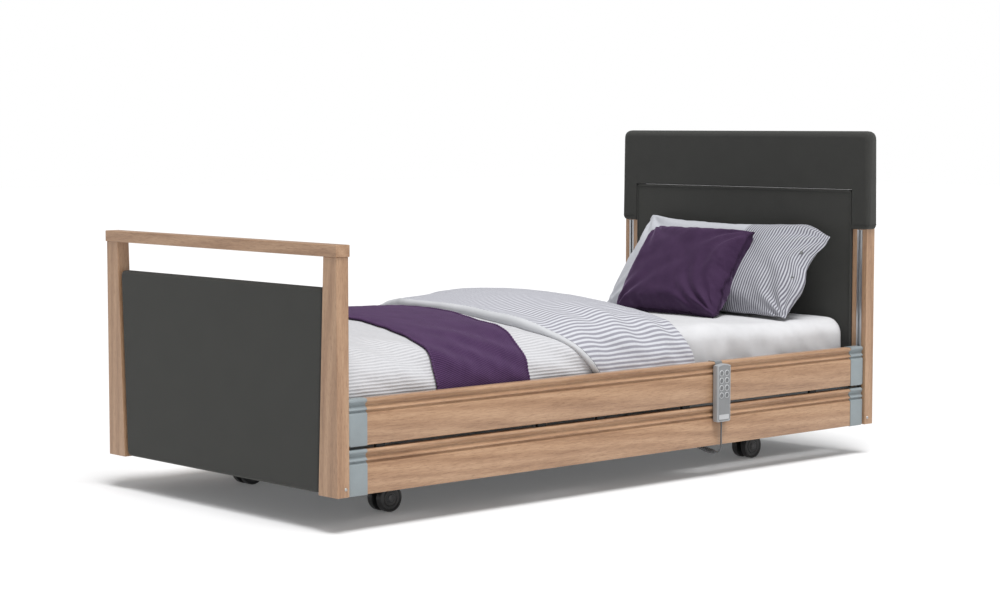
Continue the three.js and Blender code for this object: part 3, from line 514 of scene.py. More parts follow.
def softbox(name, place, target, size, energy):
    light = bpy.data.lights.new(name, "AREA")
    light.shape, light.size, light.size_y = "RECTANGLE", *size
    light.energy = energy
    lamp = bpy.data.objects.new(name, light)
    bpy.context.scene.collection.objects.link(lamp)
    lamp.location = place
    lamp.rotation_euler = (Vector(target) - Vector(place)).to_track_quat("-Z", "Y").to_euler()


def high_window(name, towards, spread_degrees, strength):
    """A light from far away in one direction, as soft as the patch of sky it covers."""
    light = bpy.data.lights.new(name, "SUN")
    light.energy, light.angle = strength, math.radians(spread_degrees)
    lamp = bpy.data.objects.new(name, light)
    bpy.context.scene.collection.objects.link(lamp)
    lamp.rotation_euler = Vector(towards).to_track_quat("Z", "Y").to_euler()


SKY_AS_LIGHT = 0.38
FLOOR_GLOW = 0.09
studio_floor()
sky = bpy.data.worlds.new("studio")
bpy.context.scene.world = sky
sky.use_nodes = True
backdrop = sky.node_tree.nodes["Background"]
seen = add(sky.node_tree, "ShaderNodeLightPath").outputs["Is Camera Ray"]
sky_level = spread(sky.node_tree, seen, SKY_AS_LIGHT, 1.0)
backdrop.inputs["Color"].default_value = (1, 1, 1, 1)
sky.node_tree.links.new(sky_level, backdrop.inputs["Strength"])
high_window("overhead", (-0.12, -0.34, 1.0), 26, 2.9)
softbox("beside_camera", (-1.0, -5.5, 2.4), (0, 0, 0.5), (3.0, 2.0), 25)

# %% [markdown]
# ## Side boards
# Each side has two boards of the same section: a rounded upper edge, a cove and a fine groove
# under it, and a flat face. A board is that section drawn along the bed. Its ends are covered by
# moulded grey caps, which follow the same section a little outside it and are rounded at their
# outer end.

# %% Section of a board
BOARD_TOP_ROUND = 0.0065
BOARD_MOULDING = [  # down from the upper edge, and deep behind the face
    (0.0402, 0.0), (0.0392, 0.0003), (0.0366, 0.0020), (0.0336, 0.0038), (0.0318, 0.0041),
    (0.0306, 0.0034), (0.0300, 0.0010), (0.0290, 0.0001), (0.0276, 0.0), (0.0262, 0.0006),
    (0.0232, 0.0032), (0.0200, 0.0050), (0.0165, 0.0055), (0.0130, 0.0044), (0.0100, 0.0020),
    (0.0082, 0.0004),
]
CAP_LONG, CAP_PROUD, CAP_JOINT = 0.060, 0.0012, 0.0008


def board_section(side, inner, outer, low, high, proud=0.0):
    """The outline of a board as (y, z) points. proud moves all but the inner face outwards."""
    thick = outer - inner
    top = BOARD_TOP_ROUND
    out = [
        (0, low - proud), (thick - 0.003, low - proud),
        *arc(thick - 0.003 + proud, low + 0.003 - proud, 0.003, 270, 360, 3),
        *[(thick + proud - 1.5 * deep, high + proud - down) for down, deep in BOARD_MOULDING],
        *arc(thick - top + proud, high - top + proud, top, 0, 90, 6),
        *arc(0.004, high - 0.004 + proud, 0.004, 90, 180, 3),
    ]
    return [(side * (inner + u), v) for u, v in out]


def drawn_along_x(name, section, stations, finish, shrink=None):
    """A section of (y, z) points drawn through stations of x. shrink gives, for each station, how
    far the section draws in towards its middle."""
    middle = np.array(section).mean(0)
    half = np.abs(np.array(section) - middle).max(0)
    rings = []
    for i, x in enumerate(stations):
        inset = shrink[i] if shrink else 0.0
        scale = 1 - inset / half
        rings += [(x, *(middle + (np.array(p) - middle) * scale)) for p in section]
    return make_piece(name, rings, loft_faces(len(stations), len(section)), finish, 30)


def rounded_run(start, end, radius, steps=5):
    """Stations from start to end whose last stretch rounds over, with the inset at each."""
    way = 1 if end > start else -1
    angles = np.radians(np.linspace(0, 90, steps + 1))
    stations = [start] + [end - way * radius * (1 - math.sin(a)) for a in angles]
    return stations, [0.0] + [radius * (1 - math.cos(a)) for a in angles]


# %% Make the boards and their caps
for side_name, side in SIDES.items():
    for board in ("lower", "upper"):
        node = f"side_rail_{side_name}_{board}"
        body = f"{side_name}_rail_{board}"
        low_corner, high_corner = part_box(node)
        inner, outer = sorted((abs(low_corner.y), abs(high_corner.y)))
        ends = (low_corner.x + 0.012, high_corner.x - 0.012)
        section = board_section(side, inner, outer, low_corner.z, high_corner.z)
        cap_section = board_section(side, inner - 0.001, outer, low_corner.z, high_corner.z,
                                    CAP_PROUD)
        plank = drawn_along_x(f"board_{side_name}_{board}", section,
                              [ends[0] + CAP_LONG + CAP_JOINT, ends[1] - CAP_LONG - CAP_JOINT],
                              oak_along_x)
        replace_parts(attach(plank, body), node)
        for end_name, end, way in (("foot", ends[0], 1), ("head", ends[1], -1)):
            stations, shrink = rounded_run(end + way * CAP_LONG, end, 0.009)
            cap = drawn_along_x(f"board_cap_{side_name}_{board}_{end_name}", cap_section,
                                stations, end_cap_grey, shrink)
            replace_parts(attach(cap, body), node)

# %% [markdown]
# ## Rigid parts that keep their CAD shape
# Most steel and plastic parts under the mattress are right as they are, and only take a finish.
# Timber parts that are seen get a copy whose edges are eased with a bevel, because an
# edge with no radius never catches the light.

# %% Finishes for CAD parts, and eased copies
def eased_copy(node, name, finish, edge):
    source = frame["nodes"][node]
    shape = bmesh.new()
    shape.from_mesh(source.data)
    bmesh.ops.remove_doubles(shape, verts=shape.verts, dist=SAME_POINT)
    bmesh.ops.dissolve_limit(shape, angle_limit=math.radians(1), verts=shape.verts,
                             edges=shape.edges)
    mesh = bpy.data.meshes.new(name)
    shape.to_mesh(mesh)
    shape.free()
    soften(mesh, 30)
    mesh.materials.clear()
    mesh.materials.append(finish)
    made = new_object(name, mesh)
    bevel = made.modifiers.new("eased", "BEVEL")
    bevel.width, bevel.segments, bevel.limit_method = edge, 3, "ANGLE"
    bevel.angle_limit = math.radians(40)
    bevel.harden_normals = True
    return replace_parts(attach(made, source["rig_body"]), node)


for end in ("foot", "head"):
    for side_name in SIDES:
        eased_copy(f"{end}_leg_{side_name}", f"{end}_leg_{side_name}_oak", oak_along_z, 0.0012)
eased_copy("foot_cap_rail", "foot_cap_oak", oak_along_y, 0.002)

CAD_FINISHES = {
    frame_grey: ("frame_steel", ["chassis_", "platform_", "head_lift_arms", "foot_lift_arms",
                                 "back_deck", "thigh_deck", "calf_deck", "seat_deck"]),
    bright_steel: ("rod_steel", ["lift_actuator_rod", "back_actuator_rod", "leg_actuator_rod"]),
    black_plastic: ("black_plastic", ["lift_actuator_housing", "back_actuator_housing",
                                      "leg_actuator_housing", "control_box"]),
    castor_black: ("castor_plastic", ["castor_"]),
}
for finish, (slot_name, starts) in CAD_FINISHES.items():
    for name, node in frame["nodes"].items():
        if name.startswith(tuple(starts)):
            node.data.materials.clear()
            node.data.materials.append(finish)

# %% [markdown]
# ## Geometry Nodes for what repeats
# Three small trees do the repeating work. One sweeps a round section along a path, for piping and
# rings. One sets copies of a part on points, for screws and buffers. One sets short stitches along
# a path at a pitch, each turned to the path. All end in real geometry with its finish, and the
# result is kept as a plain mesh.

# %% Tree helpers
def new_tree(name, sizes):
    """A geometry tree with named inputs from (name, socket kind, value) rows."""
    tree = bpy.data.node_groups.new(name, "GeometryNodeTree")
    tree.interface.new_socket("Path", in_out="INPUT", socket_type="NodeSocketGeometry")
    for label, kind, value in sizes:
        socket = tree.interface.new_socket(label, in_out="INPUT", socket_type="NodeSocket" + kind)
        if value is not None:
            socket.default_value = value
    tree.interface.new_socket("Made", in_out="OUTPUT", socket_type="NodeSocketGeometry")
    return tree, tree.nodes.new("NodeGroupInput"), tree.nodes.new("NodeGroupOutput")


def end_tree(tree, start, end, geometry, smooth=True):
    """Makes instances real, smooths them if asked, and gives them the tree's Finish."""
    made = add(tree, "GeometryNodeRealizeInstances", {"Geometry": geometry}).outputs[0]
    if smooth:
        made = add(tree, "GeometryNodeSetShadeSmooth", {
            "Geometry": made, "Shade Smooth": True}).outputs[0]
    dressed = add(tree, "GeometryNodeSetMaterial", {
        "Geometry": made, "Material": start.outputs["Finish"]})
    tree.links.new(dressed.outputs[0], end.inputs[0])
    return tree


def grown(name, tree, points, edges, **values):
    """Runs a tree on a path and returns what it made as a plain mesh object."""
    path = plain_mesh(name + "_path", points, edges=edges)
    carrier = new_object(name + "_path", path)
    modifier = carrier.modifiers.new("grow", "NODES")
    modifier.node_group = tree
    for item in tree.interface.items_tree:
        if item.in_out == "INPUT" and item.name in values:
            modifier[item.identifier] = values[item.name]
    seen_now = bpy.context.evaluated_depsgraph_get()
    mesh = bpy.data.meshes.new_from_object(carrier.evaluated_get(seen_now))
    mesh.name = name
    bpy.data.objects.remove(carrier)
    bpy.data.meshes.remove(path)
    return new_object(name, mesh)


def loop_edges(count, start=0):
    return [(start + i, start + (i + 1) % count) for i in range(count)]


def line_edges(count, start=0):
    return [(start + i, start + i + 1) for i in range(count - 1)]

# %% The three trees
def sweep_tree():
    tree, start, end = new_tree("piping_along_a_path", [
        ("Radius", "Float", 0.003), ("Sides", "Int", 10), ("Finish", "Material", None)])
    path = add(tree, "GeometryNodeMeshToCurve", {"Mesh": start.outputs["Path"]}).outputs[0]
    ring = add(tree, "GeometryNodeCurvePrimitiveCircle", {
        "Resolution": start.outputs["Sides"], "Radius": start.outputs["Radius"]}).outputs[0]
    swept = add(tree, "GeometryNodeCurveToMesh", {
        "Curve": path, "Profile Curve": ring, "Fill Caps": True}).outputs[0]
    return end_tree(tree, start, end, swept)


def parts_tree():
    tree, start, end = new_tree("parts_on_points", [
        ("Part", "Object", None), ("Turn", "Rotation", None), ("Finish", "Material", None)])
    part = add(tree, "GeometryNodeObjectInfo", {
        "Object": start.outputs["Part"], "As Instance": True})
    dots = add(tree, "GeometryNodeMeshToPoints", {"Mesh": start.outputs["Path"]}).outputs[0]
    copies = add(tree, "GeometryNodeInstanceOnPoints", {
        "Points": dots, "Instance": part.outputs["Geometry"],
        "Rotation": start.outputs["Turn"]}).outputs[0]
    return end_tree(tree, start, end, copies, smooth=False)


def stitch_tree():
    tree, start, end = new_tree("stitches_along_a_path", [
        ("Pitch", "Float", 0.01), ("Long", "Float", 0.008), ("Thick", "Float", 0.003),
        ("Finish", "Material", None)])
    path = add(tree, "GeometryNodeMeshToCurve", {"Mesh": start.outputs["Path"]}).outputs[0]
    even = add(tree, "GeometryNodeResampleCurve", {
        "Curve": path, "Length": start.outputs["Pitch"]}, mode="LENGTH")
    tangent = add(tree, "GeometryNodeInputTangent").outputs[0]
    turn = add(tree, "FunctionNodeAlignRotationToVector", {"Vector": tangent}, axis="X").outputs[0]
    stitch = add(tree, "GeometryNodeMeshUVSphere", {
        "Segments": 8, "Rings": 6, "Radius": 0.5}).outputs[0]
    size = add(tree, "ShaderNodeCombineXYZ", {
        "X": start.outputs["Long"], "Y": start.outputs["Thick"],
        "Z": start.outputs["Thick"]}).outputs[0]
    copies = add(tree, "GeometryNodeInstanceOnPoints", {
        "Points": even.outputs[0], "Instance": stitch, "Rotation": turn, "Scale": size}).outputs[0]
    return end_tree(tree, start, end, copies)


SWEEP, PARTS, STITCHES = sweep_tree(), parts_tree(), stitch_tree()

# %% [markdown]
# ## Upholstered panels
# A board wrapped in thin foam and cloth has a flat face and soft edges, so each panel is an
# extruded outline with its corners rounded in the plane and its edges rounded over to each side.
# A corner's radius has to be about half as large again as its edge's, or the edge folds over
# itself there. The headboard's upper pad is an upturned U whose wings come down over the legs.

# %% Panels
FLAT_RIM = 0.0002  # a narrow flat ring that keeps the shading of the flat face even


def upholstered(name, outline, ease, front, back, node):
    """A padded panel from an outline of (y, z) points, between two places along X. ease is the
    radius at which each point of the outline rounds over to the front and the back."""
    flat = np.array(outline)
    along = np.roll(flat, -1, axis=0) - np.roll(flat, 1, axis=0)
    along /= np.linalg.norm(along, axis=1)[:, None]
    inwards = np.stack([-along[:, 1], along[:, 0]], axis=1)
    ease = np.broadcast_to(np.array(ease, float), len(flat))[:, None]
    rings = []
    quarter = [(FLAT_RIM, 90), *[(0.0, angle) for angle in np.linspace(90, 0, 8)]]
    for x, way in ((front, 1), (back, -1)):
        for flat_rim, angle in quarter[::way]:
            turn = math.radians(angle)
            inset = flat + inwards * (ease * (1 - math.cos(turn)) + flat_rim)
            reach = x + way * ease[:, 0] * (1 - math.sin(turn))
            rings += [(float(r), *map(float, p)) for r, p in zip(reach, inset)]
    panel = make_piece(name, rings, loft_faces(2 * len(quarter), len(flat)), charcoal, 50)
    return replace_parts(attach(panel, "platform"), node)


def eased_corners(corners, radius, steps=5):
    """A closed outline of (y, z) corners, each rounded by its own radius."""
    outline = []
    for i, corner in enumerate(corners):
        here = np.array(corner)
        before = np.array(corners[i - 1]) - here
        after = np.array(corners[(i + 1) % len(corners)]) - here
        r = radius[i] if isinstance(radius, (list, tuple)) else radius
        a = here + before / np.linalg.norm(before) * r
        b = here + after / np.linalg.norm(after) * r
        for t in np.linspace(0, 1, steps + 1):
            outline.append(tuple((1 - t) ** 2 * a + 2 * t * (1 - t) * here + t * t * b))
    return outline


pad_low, pad_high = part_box("head_upper_pad")
inner_low, inner_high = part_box("head_inner_panel")
slit = 0.0012
notch_half, notch_top = inner_high.y + slit, inner_high.z + slit
pad_corners = [
    (-pad_high.y, pad_low.z), (-notch_half, pad_low.z), (-notch_half, notch_top),
    (notch_half, notch_top), (notch_half, pad_low.z), (pad_high.y, pad_low.z),
    (pad_high.y, pad_high.z), (-pad_high.y, pad_high.z),
]
pad_outline = eased_corners(
    pad_corners, [0.019, 0.007, 0.003, 0.003, 0.007, 0.019, 0.029, 0.029])
pad_ease = [0.004 if abs(y) < notch_half + 0.006 and z < notch_top + 0.004
            else 0.012 if z < pad_low.z + 0.05 else 0.019 for y, z in pad_outline]
upholstered("headboard_pad", pad_outline, pad_ease, pad_low.x, pad_high.x, "head_upper_pad")
inner_corners = [(inner_low.y, inner_low.z), (inner_high.y, inner_low.z),
                 (inner_high.y, inner_high.z), (inner_low.y, inner_high.z)]
upholstered("headboard_inner_panel", eased_corners(inner_corners, 0.010), 0.006,
            inner_low.x, inner_high.x, "head_inner_panel")

foot_shape = np.array([v.co for v in frame["nodes"]["foot_panel"].data.vertices])
foot_low, foot_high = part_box("foot_panel")
half_low = foot_shape[foot_shape[:, 2] < foot_low.z + 0.001, 1].max()
half_high = foot_shape[foot_shape[:, 2] > foot_high.z - 0.001, 1].max()
foot_corners = [(-half_low, foot_low.z), (half_low, foot_low.z),
                (half_high, foot_high.z), (-half_high, foot_high.z)]
upholstered("footboard_panel", eased_corners(foot_corners, 0.018), 0.011,
            foot_low.x, foot_high.x, "foot_panel")

# %% Piping round the inner panel and hems on the wings
def loop_inset(outline, distance):
    middle = np.array(outline).mean(0)
    half = np.abs(np.array(outline) - middle).max(0)
    return [tuple(middle + (np.array(p) - middle) * (1 - distance / half)) for p in outline]


ring = loop_inset(eased_corners(inner_corners, 0.009), 0.0034)
inner_piping = grown("inner_panel_piping", SWEEP, [(inner_low.x + 0.0010, y, z) for y, z in ring],
                     loop_edges(len(ring)), Radius=0.0034, Finish=charcoal)
hem_points, hem_edges = [], []
for side in SIDES.values():
    outline = rounded_box_outline(pad_low.x - 0.0002, pad_high.x + 0.0002, notch_half - 0.0002,
                                  pad_high.y + 0.0002, 0.0125, 6)
    hem_edges += loop_edges(len(outline), len(hem_points))
    hem_points += [(x, side * y, pad_low.z + 0.016) for x, y in outline]
wing_hems = grown("wing_hems", SWEEP, hem_points, hem_edges, Radius=0.0009, Finish=charcoal_cord)
for piping in (inner_piping, wing_hems):
    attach(piping, "platform")
print("piping round the inner panel:", len(inner_piping.data.polygons), "faces")

# %% [markdown]
# ## Channels, screws and buffers
# The boards slide in aluminium channels let into the legs. A channel is a C section drawn upright,
# with two lips that leave a slot for the boards' guides. One domed screw holds each leg's foot.

# %% Channels
def channel_section(face, way, middle, wide=0.0198, deep=0.0136, wall=0.0017, slot_wide=0.0084):
    half, lip = wide / 2, slot_wide / 2
    shape = [(0, -half), (0, -lip), (wall, -lip), (wall, -half + wall), (deep - wall, -half + wall),
             (deep - wall, half - wall), (wall, half - wall), (wall, lip), (0, lip), (0, half),
             (deep, half), (deep, -half)]
    return [(face - way * u, middle + v) for u, v in shape]


for end, way in (("foot", 1), ("head", -1)):
    for side_name, side in SIDES.items():
        low_corner, high_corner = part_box(f"{end}_leg_{side_name}")
        face = high_corner.x if way > 0 else low_corner.x
        outer = max(abs(low_corner.y), abs(high_corner.y))
        section = channel_section(face + way * 0.0003, way, side * (outer - 0.028))
        top = 0.7018 if end == "foot" else 0.7028
        points = [(x, y, z) for z in (0.1102, top) for x, y in section]
        channel = make_piece(f"channel_{end}_{side_name}", points, loft_faces(2, len(section)),
                             aluminium, 30)
        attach(channel, "platform")

# %% Screws and buffers
def lathe(profile, steps, axis_point=(0, 0, 0)):
    """Points and faces of a profile of (radius, height) pairs turned round Y."""
    ax, ay, az = axis_point
    rings = []
    for a in np.linspace(0, 2 * math.pi, steps, endpoint=False):
        rings += [(ax + r * math.cos(a), ay + h, az + r * math.sin(a)) for r, h in profile]
    return rings, loft_faces(steps, len(profile), closed_rings=True)


def single_use(points, faces, name):
    part = make_piece(name, points, faces, zinc, 40)
    part.hide_render = True
    return part


screw_profile = [(0.0, -0.0022), (0.0018, -0.0022), (0.0021, -0.0034), (0.0030, -0.0031),
                 (0.0041, -0.0018), (0.0045, 0.0), (0.0, 0.0)]
screw = single_use(*lathe(screw_profile, 24), "screw")
buffer_outline = rounded_box_outline(-0.015, 0.015, -0.0052, 0.0052, 0.0015, 3)
buffer_part = single_use([(x, y, z) for z in (-0.0006, 0.0088) for x, y in buffer_outline],
                         loft_faces(2, len(buffer_outline)), "buffer")
for side_name, side in SIDES.items():
    foot_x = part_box(f"foot_leg_{side_name}")[1].x - 0.012
    head_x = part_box(f"head_leg_{side_name}")[0].x + 0.012
    outer = max(abs(c.y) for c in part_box(f"foot_leg_{side_name}"))
    turn = (0, 0, 0) if side == NEAR else (0, 0, math.pi)
    places = [(x, side * outer, 0.116) for x in (foot_x, head_x)]
    row = grown(f"leg_screws_{side_name}", PARTS, places, [], Part=screw, Turn=turn, Finish=zinc)
    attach(row, "platform")
    rail_low, rail_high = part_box(f"side_rail_{side_name}_lower")
    middle = (rail_low.y + rail_high.y) / 2
    places = [(x, middle, rail_high.z) for x in (-0.909, -0.344, -0.118, 0.228, 0.794)]
    row = grown(f"board_buffers_{side_name}", PARTS, places, [], Part=buffer_part, Turn=(0, 0, 0),
                Finish=rubber)
    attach(row, f"{side_name}_rail_lower")
bpy.data.objects.remove(screw)
bpy.data.objects.remove(buffer_part)

# %% [markdown]
# ## Castors
# Each castor has two moulded wheels, with a tread band, a stepped face and a raised hub disc. A
# wheel is a profile turned on a lathe, so all of its rings come from one line of points.

# %% Castor wheels
WHEEL_LINE = [
    (0.0100, 0.0), (0.0360, 0.0), (0.0375, 0.0018), (0.0375, 0.0165), (0.0366, 0.0186),
    (0.0345, 0.0196), (0.0312, 0.0198), (0.0305, 0.0188), (0.0298, 0.0176), (0.0235, 0.0170),
    (0.0228, 0.0182), (0.0205, 0.0188), (0.0198, 0.0178), (0.0150, 0.0174), (0.0143, 0.0182),
    (0.0100, 0.0182), (0.0100, 0.0),
]
HUB_LINE = [(0.0, 0.0172), (0.0098, 0.0172), (0.0104, 0.0190), (0.0094, 0.0204), (0.0070, 0.0210),
            (0.0066, 0.0202), (0.0, 0.0202)]
for end in ("foot", "head"):
    for side_name in SIDES:
        node = f"castor_{end}_{side_name}_wheels"
        body = f"castor_{end}_{side_name}_roll"
        low_corner, high_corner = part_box(node)
        centre = (low_corner + high_corner) / 2
        gap_half = (high_corner.y - low_corner.y) / 2 - 0.020
        for label, line, finish in (("wheels", WHEEL_LINE[:-1], castor_black),
                                    ("hubs", HUB_LINE, castor_hub_grey)):
            points, faces = [], []
            for way in (-1, 1):
                profile = [(r, way * (gap_half + h)) for r, h in line]
                more, quads = lathe(profile, 44, centre)
                faces += [tuple(i + len(points) for i in q) for q in quads]
                points += more
            made = make_piece(f"castor_{end}_{side_name}_{label}_turned", points, faces, finish, 35)
            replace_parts(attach(made, body), node)

# %% [markdown]
# ## Hand control
# A slim case with a light rim round a darker recessed face, eight round keys each in a raised
# ring, a blank plate at the foot, and a hook over the board. The keys stay separate because each
# one is pressed on its own.

# %% Hand control
case_low, case_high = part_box("handset")
key_boxes = [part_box(f"handset_button_{i}") for i in range(1, 9)]
case_from, case_to = case_low.x, case_high.x
case_foot = case_low.z
case_top = key_boxes[0][1].z + 0.0203
face_y = case_low.y
back_y = face_y + 0.022
case_middle = (case_from + case_to) / 2


def case_outline(inset, arch=0.005):
    left, right = case_from + inset, case_to - inset
    foot, top = case_foot + inset, case_top - inset
    corner = 0.0055
    crown = [(x, top - arch * ((x - case_middle) / (right - case_middle)) ** 2)
             for x in np.linspace(right, left, 15)]
    return [*arc(left + corner, foot + corner, corner, 180, 270, 5),
            *arc(right - corner, foot + corner, corner, 270, 360, 5), *crown]


def layered(name, layers, finish, sharp_above=35):
    """A stack of outlines in (x, z), one at each y, from (y, inset) rows."""
    outlines = [[(x, y, z) for x, z in case_outline(inset)] for y, inset in layers]
    points = [p for outline in outlines for p in outline]
    return make_piece(name, points, loft_faces(len(layers), len(outlines[0])), finish, sharp_above)


handset_case = layered("handset_case", [
    (back_y, 0.004), (back_y - 0.0025, 0.001), (back_y - 0.006, 0.0), (face_y + 0.0055, 0.0),
    (face_y + 0.0052, 0.0006), (face_y + 0.0046, 0.0006), (face_y + 0.0043, 0.0),
    (face_y + 0.0022, 0.0002), (face_y + 0.0007, 0.0011), (face_y, 0.0026), (face_y, 0.0036),
    (face_y + 0.0009, 0.0040)], handset_rim_grey, 40)
handset_face = layered("handset_face", [(face_y + 0.0012, 0.0041), (face_y + 0.0006, 0.0043)],
                       handset_grey)
plate_low, plate_high = case_foot + 0.0075, case_foot + 0.0215
plate = rounded_box_outline(case_from + 0.0075, case_to - 0.0075, plate_low, plate_high, 0.002, 4)
handset_plate = make_piece(
    "handset_blank_plate",
    [(x, y, z) for y in (face_y + 0.001, face_y + 0.0001) for x, z in plate],
    loft_faces(2, len(plate)), plate_grey_and_ring_highlight)

ring_points, ring_edges = [], []
for low_corner, high_corner in key_boxes:
    centre = (low_corner + high_corner) / 2
    loop = [(centre.x + 0.0079 * math.cos(a), face_y + 0.0004, centre.z + 0.0079 * math.sin(a))
            for a in np.linspace(0, 2 * math.pi, 28, endpoint=False)]
    ring_edges += loop_edges(len(loop), len(ring_points))
    ring_points += loop
# The rings take the pale plate grey, lighter than the case, which paints in the highlight that runs
# round each ring.
key_rings = grown("handset_key_rings", SWEEP, ring_points, ring_edges, Radius=0.0013, Sides=8,
                  Finish=plate_grey_and_ring_highlight)

hook_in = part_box("handset")[1].y
hook_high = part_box("handset")[1].z - 0.0012
hook_path = [(back_y + 0.0005, hook_high - 0.045), (back_y + 0.0005, hook_high - 0.006),
             (back_y + 0.002, hook_high - 0.0015), (back_y + 0.006, hook_high),
             (hook_in - 0.005, hook_high), (hook_in - 0.0018, hook_high - 0.002),
             (hook_in - 0.0012, hook_high - 0.006), (hook_in - 0.0012, hook_high - 0.020)]
strap_points = []
for (y, z), (ny, nz) in zip(hook_path, [(1, 0), (1, -0.1), (0.7, -0.7), (0.1, -1), (-0.1, -1),
                                        (-0.7, -0.7), (-1, -0.1), (-1, 0)]):
    for off, x in ((0.0, -0.015), (0.0, 0.015), (0.0021, 0.015), (0.0021, -0.015)):
        strap_points.append((case_middle + x, y + ny * off, z + nz * off))
handset_hook = make_piece("handset_hook", strap_points, loft_faces(len(hook_path), 4),
                          handset_grey, 40)
strap_bevel = handset_hook.modifiers.new("eased", "BEVEL")
strap_bevel.width, strap_bevel.segments, strap_bevel.limit_method = 0.0006, 2, "ANGLE"

for part in (handset_case, handset_face, handset_plate, key_rings, handset_hook):
    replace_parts(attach(part, "near_rail_upper"), "handset")

KEY_LINE = [(0.0, -0.0010), (0.0036, -0.0008), (0.0042, -0.0013), (0.0052, -0.0014),
            (0.0061, -0.0009), (0.0066, 0.0002), (0.0066, 0.0035), (0.0, 0.0035)]
for i, (low_corner, high_corner) in enumerate(key_boxes, start=1):
    centre = (low_corner + high_corner) / 2
    points, faces = lathe([(r, face_y + h) for r, h in KEY_LINE], 32, (centre.x, 0, centre.z))
    key = make_piece(f"handset_key_{i}", points, faces, key_grey, 40)
    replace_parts(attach(key, f"button_{i}"), f"handset_button_{i}")

# %% [markdown]
# ## Cloth finishes
# The bedding's patterns are woven into flat cloth, so they have to follow it over every fold. Each
# cloth piece carries a UV map called cloth, in metres along and across the weave, and the ribs and
# stripes are sines of it. A little noise keeps the threads from looking ruled.

# %% Ribbed, striped and plain cloth
RIB_PITCH = 0.0088
STRIPE_PITCH = 0.0115
SHEET_THREAD = 0.0009


def rib_height(tree, pitch):
    """A wave from 0 to 1 across the cloth, and the cloth's own place."""
    place = cloth_place(tree)
    across = add(tree, "ShaderNodeSeparateXYZ", {"Vector": place}).outputs["X"]
    drift = math_node(tree, "MULTIPLY", noise(tree, place, 16.0, 2), 0.0024)
    turns = math_node(tree, "MULTIPLY", math_node(tree, "ADD", across, drift), 2 * math.pi / pitch)
    return math_node(tree, "MULTIPLY_ADD", math_node(tree, "SINE", turns), 0.5, 0.5), place


def ribbed_finish(name, shaded_valley, lit_crest):
    finish, tree, shader = new_finish(name, 0.88, Sheen_Weight=0.15, Sheen_Roughness=0.45,
                                      Specular_IOR_Level=0.2)
    ribs, place = rib_height(tree, RIB_PITCH)
    fibre = noise(tree, place, 900.0, 2, 0.7)
    crinkle = noise(tree, place, 75.0, 3, 0.6)
    # The colour follows the ribs and crinkles: painted shade in their valleys and painted light on
    # their crests.
    colour = ramp(tree, weighted(tree, (ribs, 0.7), (crinkle, 0.5)), (0.15, shaded_valley), (0.75, lit_crest))
    height = weighted(tree, (ribs, 1), (fibre, 0.18), (crinkle, 0.5))
    finish_with(tree, shader, colour, height, 0.0020, 0.55)
    return finish


def striped_finish(name, ground, stripe, pitch, start=None):
    """Stripes across U. With start, they fade in beyond that U and the rest is the ground."""
    finish, tree, shader = new_finish(name, 0.86, Sheen_Weight=0.15, Sheen_Roughness=0.45,
                                      Specular_IOR_Level=0.2)
    ribs, place = rib_height(tree, pitch)
    weft = noise(tree, place, 1100.0, 2, 0.7)
    crinkle = noise(tree, place, 90.0, 3, 0.6)
    edge = weighted(tree, (ribs, 1), (weft, 0.25))
    colour = ramp(tree, edge, (0.42, stripe), (0.86, ground))
    if start is not None:
        across = add(tree, "ShaderNodeSeparateXYZ", {"Vector": place}).outputs["X"]
        past = add(tree, "ShaderNodeMapRange", {
            "Value": across, "From Min": start - 0.002, "From Max": start + 0.002,
            "To Min": 1.0, "To Max": 0.0}).outputs["Result"]
        colour = mix(tree, past, ground, colour)
    colour = mix(tree, spread(tree, crinkle, 0.0, 0.35), colour, tuple(c * 0.82 for c in ground),
                 "MULTIPLY")
    finish_with(tree, shader, colour, weighted(tree, (ribs, 0.8), (crinkle, 0.7)), 0.0014, 0.5)
    return finish


def plain_cloth_finish(name, low, high):
    finish, tree, shader = new_finish(name, 0.85, Sheen_Weight=0.1, Sheen_Roughness=0.4,
                                      Specular_IOR_Level=0.2)
    place = object_place(tree)
    warp, weft = (wave(tree, place, WAVE_PER_METRE / SHEET_THREAD, way) for way in "XY")
    soft = noise(tree, place, 9.0, 4)
    threads = weighted(tree, (warp, 1), (weft, 1))
    height = weighted(tree, (threads, 0.1), (noise(tree, place, 38.0, 3), 0.6))
    finish_with(tree, shader, ramp(tree, soft, (0.35, low), (0.65, high)), height, 0.0012, 0.4)
    return finish


def velvet_finish(name, low, high, pile, sheen):
    finish, tree, shader = new_finish(
        name, 0.80, Sheen_Weight=sheen, Sheen_Roughness=0.35, Sheen_Tint=(0.62, 0.45, 0.72, 1),
        Specular_IOR_Level=0.15)
    place = object_place(tree)
    nap = noise(tree, place, pile, 3, 0.7)
    brushed = noise(tree, place, 17.0, 4, 0.6)
    tone = weighted(tree, (nap, 0.4), (brushed, 0.6))
    finish_with(tree, shader, ramp(tree, tone, (0.35, low), (0.65, high)), nap, 0.0008, 0.5)
    return finish


